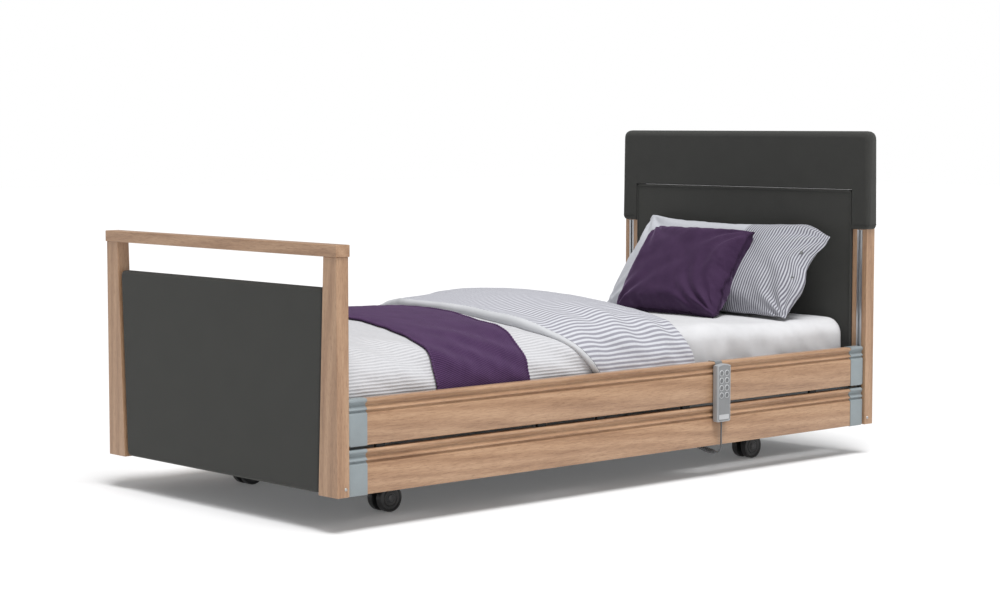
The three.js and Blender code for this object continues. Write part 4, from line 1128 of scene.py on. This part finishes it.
def knitted_finish(name, shaded_valley, lit_crest):
    """A twill knit: fine slanted ribs on the cloth's own place."""
    finish, tree, shader = new_finish(
        name, 0.9, Sheen_Weight=0.4, Sheen_Roughness=0.4, Sheen_Tint=(0.60, 0.45, 0.70, 1),
        Specular_IOR_Level=0.1)
    parts = add(tree, "ShaderNodeSeparateXYZ", {"Vector": cloth_place(tree)}).outputs
    slant = math_node(tree, "MULTIPLY_ADD", parts["Y"], 0.45, parts["X"])
    ribs = math_node(tree, "SINE", math_node(tree, "MULTIPLY", slant, 2 * math.pi / 0.0052))
    knots = math_node(tree, "SINE", math_node(tree, "MULTIPLY", parts["Y"], 2 * math.pi / 0.0045))
    height = math_node(tree, "MULTIPLY_ADD", ribs, 0.36,
                       math_node(tree, "MULTIPLY_ADD", knots, 0.14, 0.5))
    fuzz = noise(tree, cloth_place(tree), 650.0, 3, 0.7)
    cloud = noise(tree, cloth_place(tree), 24.0, 3)
    # The rib height runs into the colour, as painted shade in the valleys and painted light on the
    # crests; the fuzz and cloud are the yarn's own tone.
    tone = weighted(tree, (height, 0.55), (weighted(tree, (fuzz, 1), (cloud, 1)), 0.28))
    finish_with(tree, shader, ramp(tree, tone, (0.25, shaded_valley), (0.8, lit_crest)), height, 0.0013, 0.7)
    return finish


# The first white is painted shade for the rib valleys, the second painted light for the crests.
white_rib = ribbed_finish("white_ribbed_duvet", (0.47, 0.47, 0.49), (0.62, 0.62, 0.64))
white_edge = plain_cloth_finish("white_duvet_edge", (0.56, 0.57, 0.59), (0.62, 0.63, 0.65))
grey_stripe = striped_finish("grey_lilac_stripe", (0.66, 0.67, 0.71), (0.32, 0.315, 0.36),
                             STRIPE_PITCH)
pillow_stripe = striped_finish("pillow_stripe", (0.56, 0.57, 0.61), (0.17, 0.165, 0.20), 0.0092,
                               -0.105)
white_cotton = plain_cloth_finish("white_fitted_sheet", (0.62, 0.62, 0.635), (0.67, 0.67, 0.685))
purple_velvet = velvet_finish("purple_velvet", (0.036, 0.016, 0.047), (0.056, 0.027, 0.070),
                              420, 0.45)
purple_piping = velvet_finish("purple_piping", (0.022, 0.010, 0.030), (0.036, 0.017, 0.046),
                              600, 0.2)
# The darker purple is painted shade for the knit's valleys, the lighter one painted light for its
# crests.
purple_knit = knitted_finish("purple_knit", (0.026, 0.012, 0.036), (0.094, 0.046, 0.120))
purple_hem = velvet_finish("purple_hem_yarn", (0.055, 0.025, 0.072), (0.10, 0.05, 0.125), 500, 0.3)

# %% [markdown]
# ## Mattress
# The mattress is one soft block in a fitted sheet, over a platform that folds in three places. It
# is made in three lengths that meet inside one deck section each, so that each length lies over
# one hinge. Its long edges are rounded and its sides carry the loose folds of the sheet.

# %% Soft waves
def ripple(x, y, z, size, seed=0.0):
    """Smooth seeded noise from about -1 to 1, with bumps of about that size in metres."""
    return field.noise(Vector((x / size + seed, y / size + seed * 0.7, z / size + 3.1)))


def gentle(value, low, high):
    """0 below low and 1 above high, with a smooth step between."""
    t = min(1.0, max(0.0, (value - low) / (high - low)))
    return t * t * (3 - 2 * t)


# %% Mattress lengths
mattress_low, mattress_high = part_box("mattress_seat")
MATTRESS_BASE, MATTRESS_TOP = mattress_low.z, mattress_high.z
MATTRESS_HALF = mattress_high.y
MATTRESS_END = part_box("mattress_back")[1].x
PRESSED = 0.015
FIRST_CUT, SECOND_CUT = 0.095, -0.18


def mattress_ring(x, inset):
    covered = 1 - gentle(x, 0.13, 0.22)
    half = MATTRESS_HALF - 0.002 - inset - 0.026 * covered
    top = MATTRESS_TOP - inset * 0.55 - PRESSED * gentle(x, 0.42, 0.66) - 0.014 * covered
    ring = []
    edge = [*arc(half - 0.015, MATTRESS_BASE + 0.0155 + inset * 0.3, 0.015, -90, 0, 3),
            *[(half, z) for z in np.linspace(MATTRESS_BASE + 0.035, top - 0.058, 6)],
            *arc(half - 0.048, top - 0.048, 0.048, 0, 90, 9),
            *[(y, top) for y in np.linspace(half - 0.07, 0.02, 14)]]
    for side, points in ((1, edge), (-1, edge[::-1])):
        for y, z in points:
            lift = 0.006 * math.cos(min(1, abs(y) / half) * math.pi / 2) if z > top - 0.01 else 0.0
            side_share = gentle(abs(y), half - 0.06, half)
            side_share *= gentle(z, MATTRESS_BASE, MATTRESS_BASE + 0.05)
            fold = 0.0110 * ripple(x, side * 3, z * 0.3, 0.080, 5.0) * side_share
            fold += 0.0070 * ripple(x + z * 0.3, side * 2, z * 0.4, 0.038, 9.0) * side_share
            lift += 0.0022 * ripple(x, y * side, 0, 0.12, 2.0) * gentle(z, top - 0.03, top)
            ring.append((x, side * (y + fold), z + lift))
    return ring


def mattress_length(name, x0, x1, round_start, round_end):
    count = max(12, round((x1 - x0) / 0.012))
    rings = []
    for x in np.linspace(x0, x1, count + 1):
        near_end = min(x - x0 if round_start else 1, x1 - x if round_end else 1)
        inset = 0.028 * (1 - math.sqrt(1 - (1 - min(1, near_end / 0.028)) ** 2))
        rings.append(mattress_ring(x, inset))
    points = [p for ring in rings for p in ring]
    piece = make_piece(name, points, loft_faces(len(rings), len(rings[0])), white_cotton, 60)
    return piece


head_length = mattress_length("mattress_head_length", FIRST_CUT, MATTRESS_END + 0.015, False, True)
middle_length = mattress_length("mattress_middle_length", SECOND_CUT, FIRST_CUT, False, False)
foot_length = mattress_length("mattress_foot_length", -MATTRESS_END, SECOND_CUT, True, False)

# The back hinge, the seat hinge and the knee that the lengths lie over; nothing here bends them.
OVER_BACK = ("platform", "back_section", (0.10, 0, 0.3), (0.30, 0, 0.3))
OVER_SEAT = ("platform", "thigh_section", (0.09, 0, 0.3), (-0.11, 0, 0.3))
OVER_KNEE = ("thigh_section", "calf_section", (-0.25, 0, 0.3), (-0.45, 0, 0.3))
for length, way in ((head_length, OVER_BACK), (middle_length, OVER_SEAT), (foot_length, OVER_KNEE)):
    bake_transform(length)
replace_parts(head_length, "mattress_back")
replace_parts(middle_length, "mattress_seat")
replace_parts(foot_length, "mattress_thigh", "mattress_calf")
print("mattress:", round(2 * MATTRESS_END, 2), "by", round(2 * MATTRESS_HALF, 2), "m")

# %% [markdown]
# ## Duvet
# A duvet over a made bed is an arch: full in the middle, and pulled in where it drops between the
# mattress and the side boards. Its section is one smooth line, sampled evenly so that the woven
# ribs keep their width. The top end is turned back on itself, so that the striped underside shows,
# and that turned part has a plain bound edge with a fine piping.

# %% The duvet's section and surface
ARCH = [(0.474, 0.302), (0.472, 0.330), (0.467, 0.362), (0.455, 0.392), (0.434, 0.418),
        (0.405, 0.439), (0.365, 0.457), (0.280, 0.478), (0.175, 0.494), (0.085, 0.501),
        (0.0, 0.503)]
section_points = [(0, -y, z) for y, z in ARCH] + [(0, y, z) for y, z in ARCH[-2::-1]]
SECTION = smooth_route(section_points, 0.0095)[:, 1:]
ACROSS = np.concatenate([[0], np.cumsum(np.linalg.norm(np.diff(SECTION, axis=0), axis=1))])
ACROSS -= ACROSS[-1] / 2
tangents = np.gradient(SECTION, axis=0)
tangents /= np.linalg.norm(tangents, axis=1)[:, None]
OUTWARDS = np.stack([-tangents[:, 1], tangents[:, 0]], axis=1)
UPPER = np.array([gentle(z, 0.36, 0.455) for z in SECTION[:, 1]])
BESIDE_BOARDS = abs(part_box("side_rail_near_upper")[1].y) - 0.002
print("duvet across its section:", round(2 * ACROSS[-1], 3), "m in", len(SECTION), "points")


def laid_point(i, x, lift, crown=1.0, tuck=1.0):
    """The point i of the section at x, lifted outwards, with its crown and its drop scaled."""
    y, z = SECTION[i]
    if z > MATTRESS_TOP:
        z = MATTRESS_TOP + (z - MATTRESS_TOP) * crown
    z = 0.302 + (z - 0.302) * tuck
    y = max(-BESIDE_BOARDS, min(BESIDE_BOARDS, y + OUTWARDS[i, 0] * lift))
    return np.array([x, y, z + OUTWARDS[i, 1] * lift])


def drape_wave(i, x, seed, size=1.0):
    """Loose folds: broad on top, and running down the sides."""
    y, z = SECTION[i]
    top = UPPER[i]
    broad = 0.0050 * ripple(x, y, 0, 0.22, seed) * (0.35 + 0.65 * top)
    across_fold = 0.62 * x + 1.25 * (z - 0.44) - 0.25 * abs(y)  # folds slant down the side
    down = 0.005 + 0.0150 * ripple(across_fold, math.copysign(2, y), 0.22 * x, 0.062, seed + 4)
    fine = 0.0016 * ripple(x, ACROSS[i], 0, 0.035, seed + 9)
    side = gentle(abs(y), 0.22, 0.40) * gentle(z, 0.305, 0.40)
    return size * (broad + down * side + fine)


def lay_cloth_map(mesh, flat):
    """Gives a mesh its cloth map from each point's place in the flat cloth."""
    corner = np.zeros(len(mesh.loops), int)
    mesh.loops.foreach_get("vertex_index", corner)
    mesh.uv_layers.new(name="cloth").data.foreach_set("uv", flat[corner].ravel())
    return corner


def cloth_sheet(name, rows, places, finish, thickness):
    """A closed sheet from a grid of points that has one row more at either end than it keeps. The
    spare rows only give the end rows their normals, so two sheets that meet show no seam."""
    grid = np.array(rows)
    normals = np.cross(np.gradient(grid, axis=0), np.gradient(grid, axis=1))
    normals *= np.sign(normals[:, :, 2].sum())
    normals += (0, 0, 1e-9)
    normals /= np.linalg.norm(normals, axis=2)[:, :, None]
    grid, normals, flat = grid[1:-1], normals[1:-1], np.array(places)[1:-1].reshape(-1, 2)
    count_r, count_c = grid.shape[:2]
    upper = count_r * count_c
    points = np.concatenate([grid.reshape(-1, 3), (grid - normals * thickness).reshape(-1, 3)])
    index = np.arange(upper).reshape(count_r, count_c)
    rim = rim_of(index)
    faces = grid_faces(count_r, count_c)
    faces += [tuple(v + upper for v in face[::-1]) for face in faces]
    faces += [(a, b, b + upper, a + upper) for a, b in zip(rim, rim[1:] + rim[:1])]
    mesh = plain_mesh(name, points, faces)
    face_outwards(mesh)
    corner = lay_cloth_map(mesh, np.concatenate([flat, flat]))
    mesh.shade_smooth()
    lit = np.concatenate([normals.reshape(-1, 3), -normals.reshape(-1, 3)])[corner]
    for face in mesh.polygons:
        sides = {v >= upper for v in face.vertices}
        if len(sides) == 2:
            lit[list(face.loop_indices)] = tuple(face.normal)
    mesh.normals_split_custom_set([tuple(map(float, n)) for n in lit])
    mesh.materials.append(finish)
    return new_object(name, mesh)


def spare_rows(values):
    """The values with one more at either end, in step with the rest."""
    values = list(values)
    first, last = values[0], values[-1]
    return [2 * first - values[1], *values, 2 * last - values[-2]]


# %% Duvet lengths
def foot_round(x):
    """How the crown and the drop shrink over the duvet's last stretch at the footboard."""
    share = min(1.0, max(0.0, (-0.885 - x) / 0.122))
    return 0.25 + 0.75 * math.sqrt(max(0.0, 1 - share ** 2))


def duvet_length(name, stations, nodes):
    rows, places = [], []
    for x, tuck in stations:
        crown = foot_round(x)
        if x > 0.1:
            crown *= 1 - 0.85 * gentle(x, 0.1, 0.36)
        rows.append([laid_point(i, x, drape_wave(i, x, 1.0), crown, tuck)
                     for i in range(len(SECTION))])
        places.append([(a, x + (1 - tuck) * 0.2) for a in ACROSS])
    piece = cloth_sheet(name, rows, places, white_rib, 0.006)
    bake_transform(piece)
    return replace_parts(piece, *nodes)


foot_stations = [(-1.0105, k) for k in (0.0, 0.05, 0.3, 0.55, 0.75)]
foot_stations += [(-1.008, 0.9), (-1.002, 0.97)]
step = (SECOND_CUT + 0.994) / 89
foot_stations += [(-0.994 + step * k, 1.0) for k in range(91)]
duvet_length("duvet_foot_length", foot_stations, ["duvet"])
for name, x0, x1, way in (("duvet_middle_length", SECOND_CUT, FIRST_CUT, OVER_SEAT),
                          ("duvet_head_length", FIRST_CUT, 0.235, OVER_BACK)):
    count = round((x1 - x0) / 0.009)
    duvet_length(name, [(x, 1.0) for x in spare_rows(np.linspace(x0, x1, count))], ["duvet"])

# %% The turned-back top
FOLD_EDGE = ([-0.480, -0.460, -0.435, -0.410, -0.330, -0.195, -0.100, 0.0, 0.2, 0.48],
             [0.312, 0.286, 0.270, 0.261, 0.279, 0.340, 0.383, 0.412, 0.425, 0.410])
FOLD_START = ([-0.475, -0.472, -0.464, -0.445, -0.410, -0.370, -0.295, -0.210, -0.107, 0.0, 0.10,
               0.20, 0.48],
              [-0.070, -0.100, -0.141, -0.176, -0.217, -0.253, -0.284, -0.307, -0.328, -0.338,
               -0.325, -0.26, -0.15])
edge_x = np.interp(SECTION[:, 0], *FOLD_EDGE)
start_x = np.interp(SECTION[:, 0], *FOLD_START)
for line in (edge_x, start_x):
    line[2:-2] = np.convolve(line, np.ones(5) / 5, "valid")


def fold_layer(i, x):
    """Crown and lift of the turned-back layer at x, rounding down to the mattress at its edge."""
    edge = edge_x[i]
    share = min(1.0, max(0.0, x / edge))
    crown = 1 - 0.88 * share ** 1.7
    roll = math.sqrt(1 - (1 - min(1.0, max(0.0, edge - x) / 0.030)) ** 2)
    thick = 0.021 + 0.020 * gentle(x - start_x[i], 0.0, 0.24) - 0.016 * share
    return crown, thick * (0.5 + 0.5 * UPPER[i]) * (0.12 + 0.88 * roll)


def fold_waves(i, x):
    y, z = SECTION[i]
    side = gentle(abs(y), 0.20, 0.40) * gentle(z, 0.31, 0.37)
    fade = gentle(edge_x[i] - x, 0.0, 0.05)
    long_wave = 0.0055 * math.sin(2 * math.pi * (x + 0.25 * (z - 0.42)) / 0.145 + 1.1)
    return (drape_wave(i, x, 6.0, 0.8) + long_wave * side) * (0.3 + 0.7 * fade)


def fold_length(name, begin, finish_at, count):
    rows, places = [], []
    for v in spare_rows(np.linspace(0, 1, count)):
        row, place = [], []
        for i in range(len(SECTION)):
            x = begin[i] + (finish_at[i] - begin[i]) * v
            crown, lift = fold_layer(i, x)
            row.append(laid_point(i, x, lift + fold_waves(i, x), crown))
            place.append((ACROSS[i], x))
        rows.append(row)
        places.append(place)
    piece = cloth_sheet(name, rows, places, grey_stripe, 0.006)
    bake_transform(piece)
    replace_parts(piece, "duvet")
    return rows


cut = np.full(len(SECTION), FIRST_CUT)
fold_rows = fold_length("duvet_turned_back_foot", start_x, cut, 44)
fold_length("duvet_turned_back_head", cut, edge_x, 44)

# %% Bound edge and piping of the turned-back top
rows, places = [], []
top_row = np.array(fold_rows[1])
ground = np.array([laid_point(i, start_x[i] - 0.002, drape_wave(i, start_x[i], 1.0) - 0.001)
                   for i in range(len(SECTION))])
for bulge, share in ((0.003, -0.2), (0.0, 0.0), (-0.0055, 0.18), (-0.0085, 0.45), (-0.0080, 0.72),
                     (-0.0045, 0.93), (0.0, 1.0), (0.003, 1.2)):
    row = ground + (top_row - ground) * share
    row[:, 0] += bulge
    rows.append(row)
    places.append([(a, share * 0.03) for a in ACROSS])
bound_edge = cloth_sheet("duvet_bound_edge", rows, places, white_edge, 0.003)
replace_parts(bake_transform(bound_edge), "duvet")
piping = grown("duvet_piping", SWEEP, top_row + (0.0005, 0, 0.0006), line_edges(len(top_row)),
               Radius=0.0020, Sides=8, Finish=white_edge)
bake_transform(piping)
seam = grown("duvet_piping_seam", SWEEP, top_row + (0.0038, 0, 0.0004), line_edges(len(top_row)),
             Radius=0.0010, Sides=6, Finish=charcoal_cord)
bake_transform(seam)

# %% [markdown]
# ## Throw
# A knitted throw lies across the duvet near the foot and hangs between the mattress and the boards
# on both sides. It follows the duvet's own surface a few millimetres above it. Its two long hems
# are oversewn, and those stitches are set along the hem by the stitch tree.

# %% Throw
throw_low, throw_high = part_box("throw_blanket")
THROW_FROM, THROW_TO = throw_low.x, throw_high.x
THROW_THICK = 0.0045


def throw_point(i, x):
    edge = min(x - THROW_FROM, THROW_TO - x)
    puff = 0.0035 * gentle(max(0.0, edge), 0.0, 0.03)
    lift = drape_wave(i, x, 1.0) + 0.0045 + THROW_THICK * 0.6 + puff
    return laid_point(i, x, lift, foot_round(x))


throw_stations = spare_rows(np.linspace(THROW_FROM, THROW_TO, 42))
throw_rows = [[throw_point(i, x) for i in range(len(SECTION))] for x in throw_stations]
throw_places = [[(a, x) for a in ACROSS] for x in throw_stations]
throw = cloth_sheet("throw", throw_rows, throw_places, purple_knit, THROW_THICK)
hem_lines = np.concatenate([throw_rows[1], throw_rows[-2]])
count = len(SECTION)
throw_hems = grown("throw_hem_stitches", STITCHES, hem_lines,
                   line_edges(count) + line_edges(count, count),
                   Pitch=0.0092, Long=0.0115, Thick=0.0072, Finish=purple_hem)
for part in (throw, throw_hems):
    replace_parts(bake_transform(part), "throw_blanket")
print("throw, flat:", round(THROW_TO - THROW_FROM, 3), "by", round(2 * ACROSS[-1], 3), "m")

# %% [markdown]
# ## Pillow and cushion
# Both are flat bags of cloth, sewn round their edge and filled. Cloth simulation finds the shape:
# the bag is laid flat, air pressure fills it, and the cloth's stiffness makes the corners pull
# in and the edges pucker as they do on a real cushion. Every point keeps its place in the flat
# bag, so the stripes follow the cloth, and the filled bag is then leaned against the headboard.

# %% Fill a bag
FILLING_FRAMES = 14
BAG_STIFFNESS = 30


def bag_points(width, height, columns, rows, lens):
    """The points of a flat bag as (across, up, out): the front's, then the back's inner ones."""
    u = np.linspace(-width / 2, width / 2, columns)
    v = np.linspace(0, height, rows)
    across, up = np.meshgrid(u, v)
    full = (1 - (2 * across / width) ** 2).clip(0) * (4 * up * (height - up) / height**2).clip(0)
    out = lens * np.sqrt(full.clip(0))
    front = np.stack([across, up, out], axis=2)
    back = np.stack([across, up, -out], axis=2)[1:-1, 1:-1]
    return np.concatenate([front.reshape(-1, 3), back.reshape(-1, 3)])


def bag_mesh(name, points, columns, rows):
    """One closed mesh from a bag's points, with the grid of its front's point numbers."""
    front_index = np.arange(rows * columns).reshape(rows, columns)
    back_index = front_index.copy()
    back_index[1:-1, 1:-1] = np.arange(rows * columns, len(points)).reshape(rows - 2, columns - 2)
    faces = []
    for r in range(rows - 1):
        for c in range(columns - 1):
            (a, b, e, d), (j, k, m, l) = (
                (index[r, c], index[r, c + 1], index[r + 1, c + 1], index[r + 1, c])
                for index in (front_index, back_index))
            faces += [(a, b, e, d), (j, l, m, k)]
    return plain_mesh(name, points, faces), front_index


def filled_bag(name, width, height, columns, rows, lens, pressure):
    """The bag's mesh, its filled shape, its flat places, and its front's point numbers."""
    shape = bag_points(width, height, columns, rows, lens)
    mesh, front_index = bag_mesh(name, shape, columns, rows)
    flat = shape[:, :2]
    bag = new_object(name + "_flat", mesh)
    cloth = bag.modifiers.new("fill", "CLOTH")
    settings = cloth.settings
    settings.use_pressure, settings.uniform_pressure_force = True, pressure
    settings.effector_weights.gravity = 0.0
    settings.quality, settings.mass = 6, 0.25
    settings.tension_stiffness = settings.compression_stiffness = BAG_STIFFNESS
    settings.shear_stiffness, settings.bending_stiffness = BAG_STIFFNESS * 0.4, 0.25
    cloth.collision_settings.use_collision = False
    scene = bpy.context.scene
    for frame_number in range(1, FILLING_FRAMES + 1):
        scene.frame_set(frame_number)
    settled = bag.evaluated_get(bpy.context.evaluated_depsgraph_get()).to_mesh()
    shape = np.zeros(len(mesh.vertices) * 3)
    settled.vertices.foreach_get("co", shape)
    scene.frame_set(1)
    bpy.data.objects.remove(bag)
    return mesh, shape.reshape(-1, 3), flat, front_index


def cloth_bag(name, mesh, shape, flat, finish):
    mesh.vertices.foreach_set("co", shape.astype(np.float32).ravel())
    mesh.update()
    mesh.name = name
    lay_cloth_map(mesh, flat)
    face_outwards(mesh)
    mesh.shade_smooth()
    mesh.materials.append(finish)
    piece = new_object(name, mesh)
    smooth = piece.modifiers.new("smooth", "SUBSURF")
    smooth.levels = smooth.render_levels = 1
    return piece


def held_back(shape, flat, most):
    """Keeps each point within that distance of its place in the flat bag, gently."""
    moved = shape[:, :2] - flat
    far = np.linalg.norm(moved, axis=1)[:, None]
    return np.concatenate([flat + moved * most / (far + most), shape[:, 2:]], axis=1)


def fitted(shape, width, height, thick):
    """Scales a filled bag to a width, height and thickness, its foot at 0."""
    low, high = shape.min(0), shape.max(0)
    out = (shape - (low + high) / 2) * (np.array([width, height, thick]) / (high - low))
    out[:, 1] += height / 2
    return out


def pucker(shape, width, height, deep, reach, seed):
    """Creases that run out of the corners, and short gathers along the seam."""
    across, up = shape[:, 0], shape[:, 1]
    push = np.zeros(len(shape))
    corners = [(-width / 2, 0, 1.0), (width / 2, 0, 0.6), (-width / 2, height, 0.6),
               (width / 2, height, 0.6)]
    for k, (corner_a, corner_v, weight) in enumerate(corners):
        away = np.hypot(across - corner_a, up - corner_v)
        turn = np.arctan2(np.abs(up - corner_v), np.abs(across - corner_a))
        bend = np.array([ripple(a, v, k, 0.10, seed) for a, v in zip(across, up)])
        fade = np.exp(-away / reach) * np.clip(away / 0.02, 0, 1)
        push += weight * np.sin(turn * 15 + bend * 3 + k) * fade
    seam = np.minimum(width / 2 - np.abs(across), np.minimum(up, height - up))
    gather = np.array([ripple(a, v, 0, 0.022, seed + 5) for a, v in zip(across, up)])
    push += 0.6 * gather * np.exp(-np.clip(seam, 0, None) / 0.02)
    return shape + np.stack([0 * push, 0 * push, deep * push * np.sign(shape[:, 2])], axis=1)


def leaned(shape, foot, head, middle_y):
    """Stands a bag on its foot line, leaning towards the head. Its out side looks footwards."""
    up = np.array([head[0] - foot[0], 0, head[1] - foot[1]])
    up /= np.linalg.norm(up)
    out = np.array([-up[2], 0, up[0]])
    across = np.array([0, 1, 0])
    origin = np.array([foot[0], middle_y, foot[1]])
    return origin + shape[:, :1] * across + shape[:, 1:2] * up + shape[:, 2:] * out


def resting(placed, sheet=0.431):
    """Presses what is below the sheet flat, down to an eighth of its depth."""
    z = placed[:, 2]
    z[:] = np.where(z < sheet, sheet - (sheet - z) * 0.12, z)
    return placed


# %% Pillow
mesh, shape, flat, front_index = filled_bag("pillow_cloth", 0.80, 0.42, 92, 50, 0.012, 3.2)
shape = fitted(held_back(shape, flat, 0.035), 0.795, 0.372, 0.128)
shape = pucker(shape, 0.795, 0.372, 0.016, 0.11, 3.0)
near_end = np.array([gentle(-a, 0.20, 0.41) for a in shape[:, 0]])
high_up = np.array([gentle(v, 0.16, 0.372) for v in shape[:, 1]])
shape[:, 2] *= 1 - 0.62 * near_end * (0.4 + 0.6 * high_up)
shape[:, 1] -= 0.058 * np.array([gentle(-a, 0.27, 0.41) for a in shape[:, 0]]) ** 1.3 * high_up
shape[:, 1] -= 0.012 * np.sin(np.clip((shape[:, 0] + 0.39) / 0.78, 0, 1) * math.pi) * high_up
shape[:, 0] += 0.010 * np.sin(shape[:, 1] * 34 + 0.6) * near_end
placed = leaned(shape, (0.772, 0.432), (0.986, 0.707), -0.026)
placed[:, 0] = np.minimum(placed[:, 0], 1.0195 - 0.0002 * (1.0195 - placed[:, 0]))
placed = resting(placed)
pillow = cloth_bag("pillow_striped", mesh, placed, flat, pillow_stripe)
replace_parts(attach(pillow, "back_section"), "pillow")

# %% Two buttons on the pillow's open end
button_points, button_faces = [], []
for row, column in ((32, 5), (18, 5)):
    centre = Vector(placed[front_index[row, column]])
    along = Vector(placed[front_index[row + 1, column]]) - centre
    over = Vector(placed[front_index[row, column + 1]]) - centre
    facing = along.cross(over).normalized()
    facing = facing if facing.x < 0 else -facing
    turn = Vector((0, 1, 0)).rotation_difference(facing)
    disc, quads = lathe([(0.0, 0.0012), (0.0022, 0.0012), (0.0030, 0.0022), (0.0046, 0.0026),
                         (0.0054, 0.0016), (0.0054, -0.0005), (0.0, -0.0005)], 20)
    button_faces += [tuple(i + len(button_points) for i in q) for q in quads]
    button_points += [tuple(centre + turn @ Vector(p)) for p in disc]
pillow_buttons = make_piece("pillow_buttons", button_points, button_faces, key_grey, 40)
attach(pillow_buttons, "back_section")

# %% Cushion
mesh, shape, flat, front_index = filled_bag("cushion_cloth", 0.46, 0.46, 64, 64, 0.010, 3.5)
shape = fitted(held_back(shape, flat, 0.060), 0.425, 0.335, 0.134)
shape[:, 2] = np.sign(shape[:, 2]) * 0.067 * (np.abs(shape[:, 2]) / 0.067) ** 0.72
shape = pucker(shape, 0.425, 0.335, 0.017, 0.085, 8.0)
placed = leaned(shape, (0.652, 0.434), (0.862, 0.681), -0.012)
placed[:, 1] += 0.10 * (placed[:, 2] - 0.434)
placed = resting(placed)
cushion = cloth_bag("cushion_velvet", mesh, placed, flat, purple_velvet)
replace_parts(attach(cushion, "back_section"), "cushion")
rim = rim_of(front_index)
cushion_piping = grown("cushion_piping", SWEEP, placed[rim], loop_edges(len(rim)), Radius=0.0024,
                       Sides=8, Finish=purple_piping)
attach(cushion_piping, "back_section")
print("cushion:", [round(float(s), 3) for s in np.ptp(placed, axis=0)], "m")
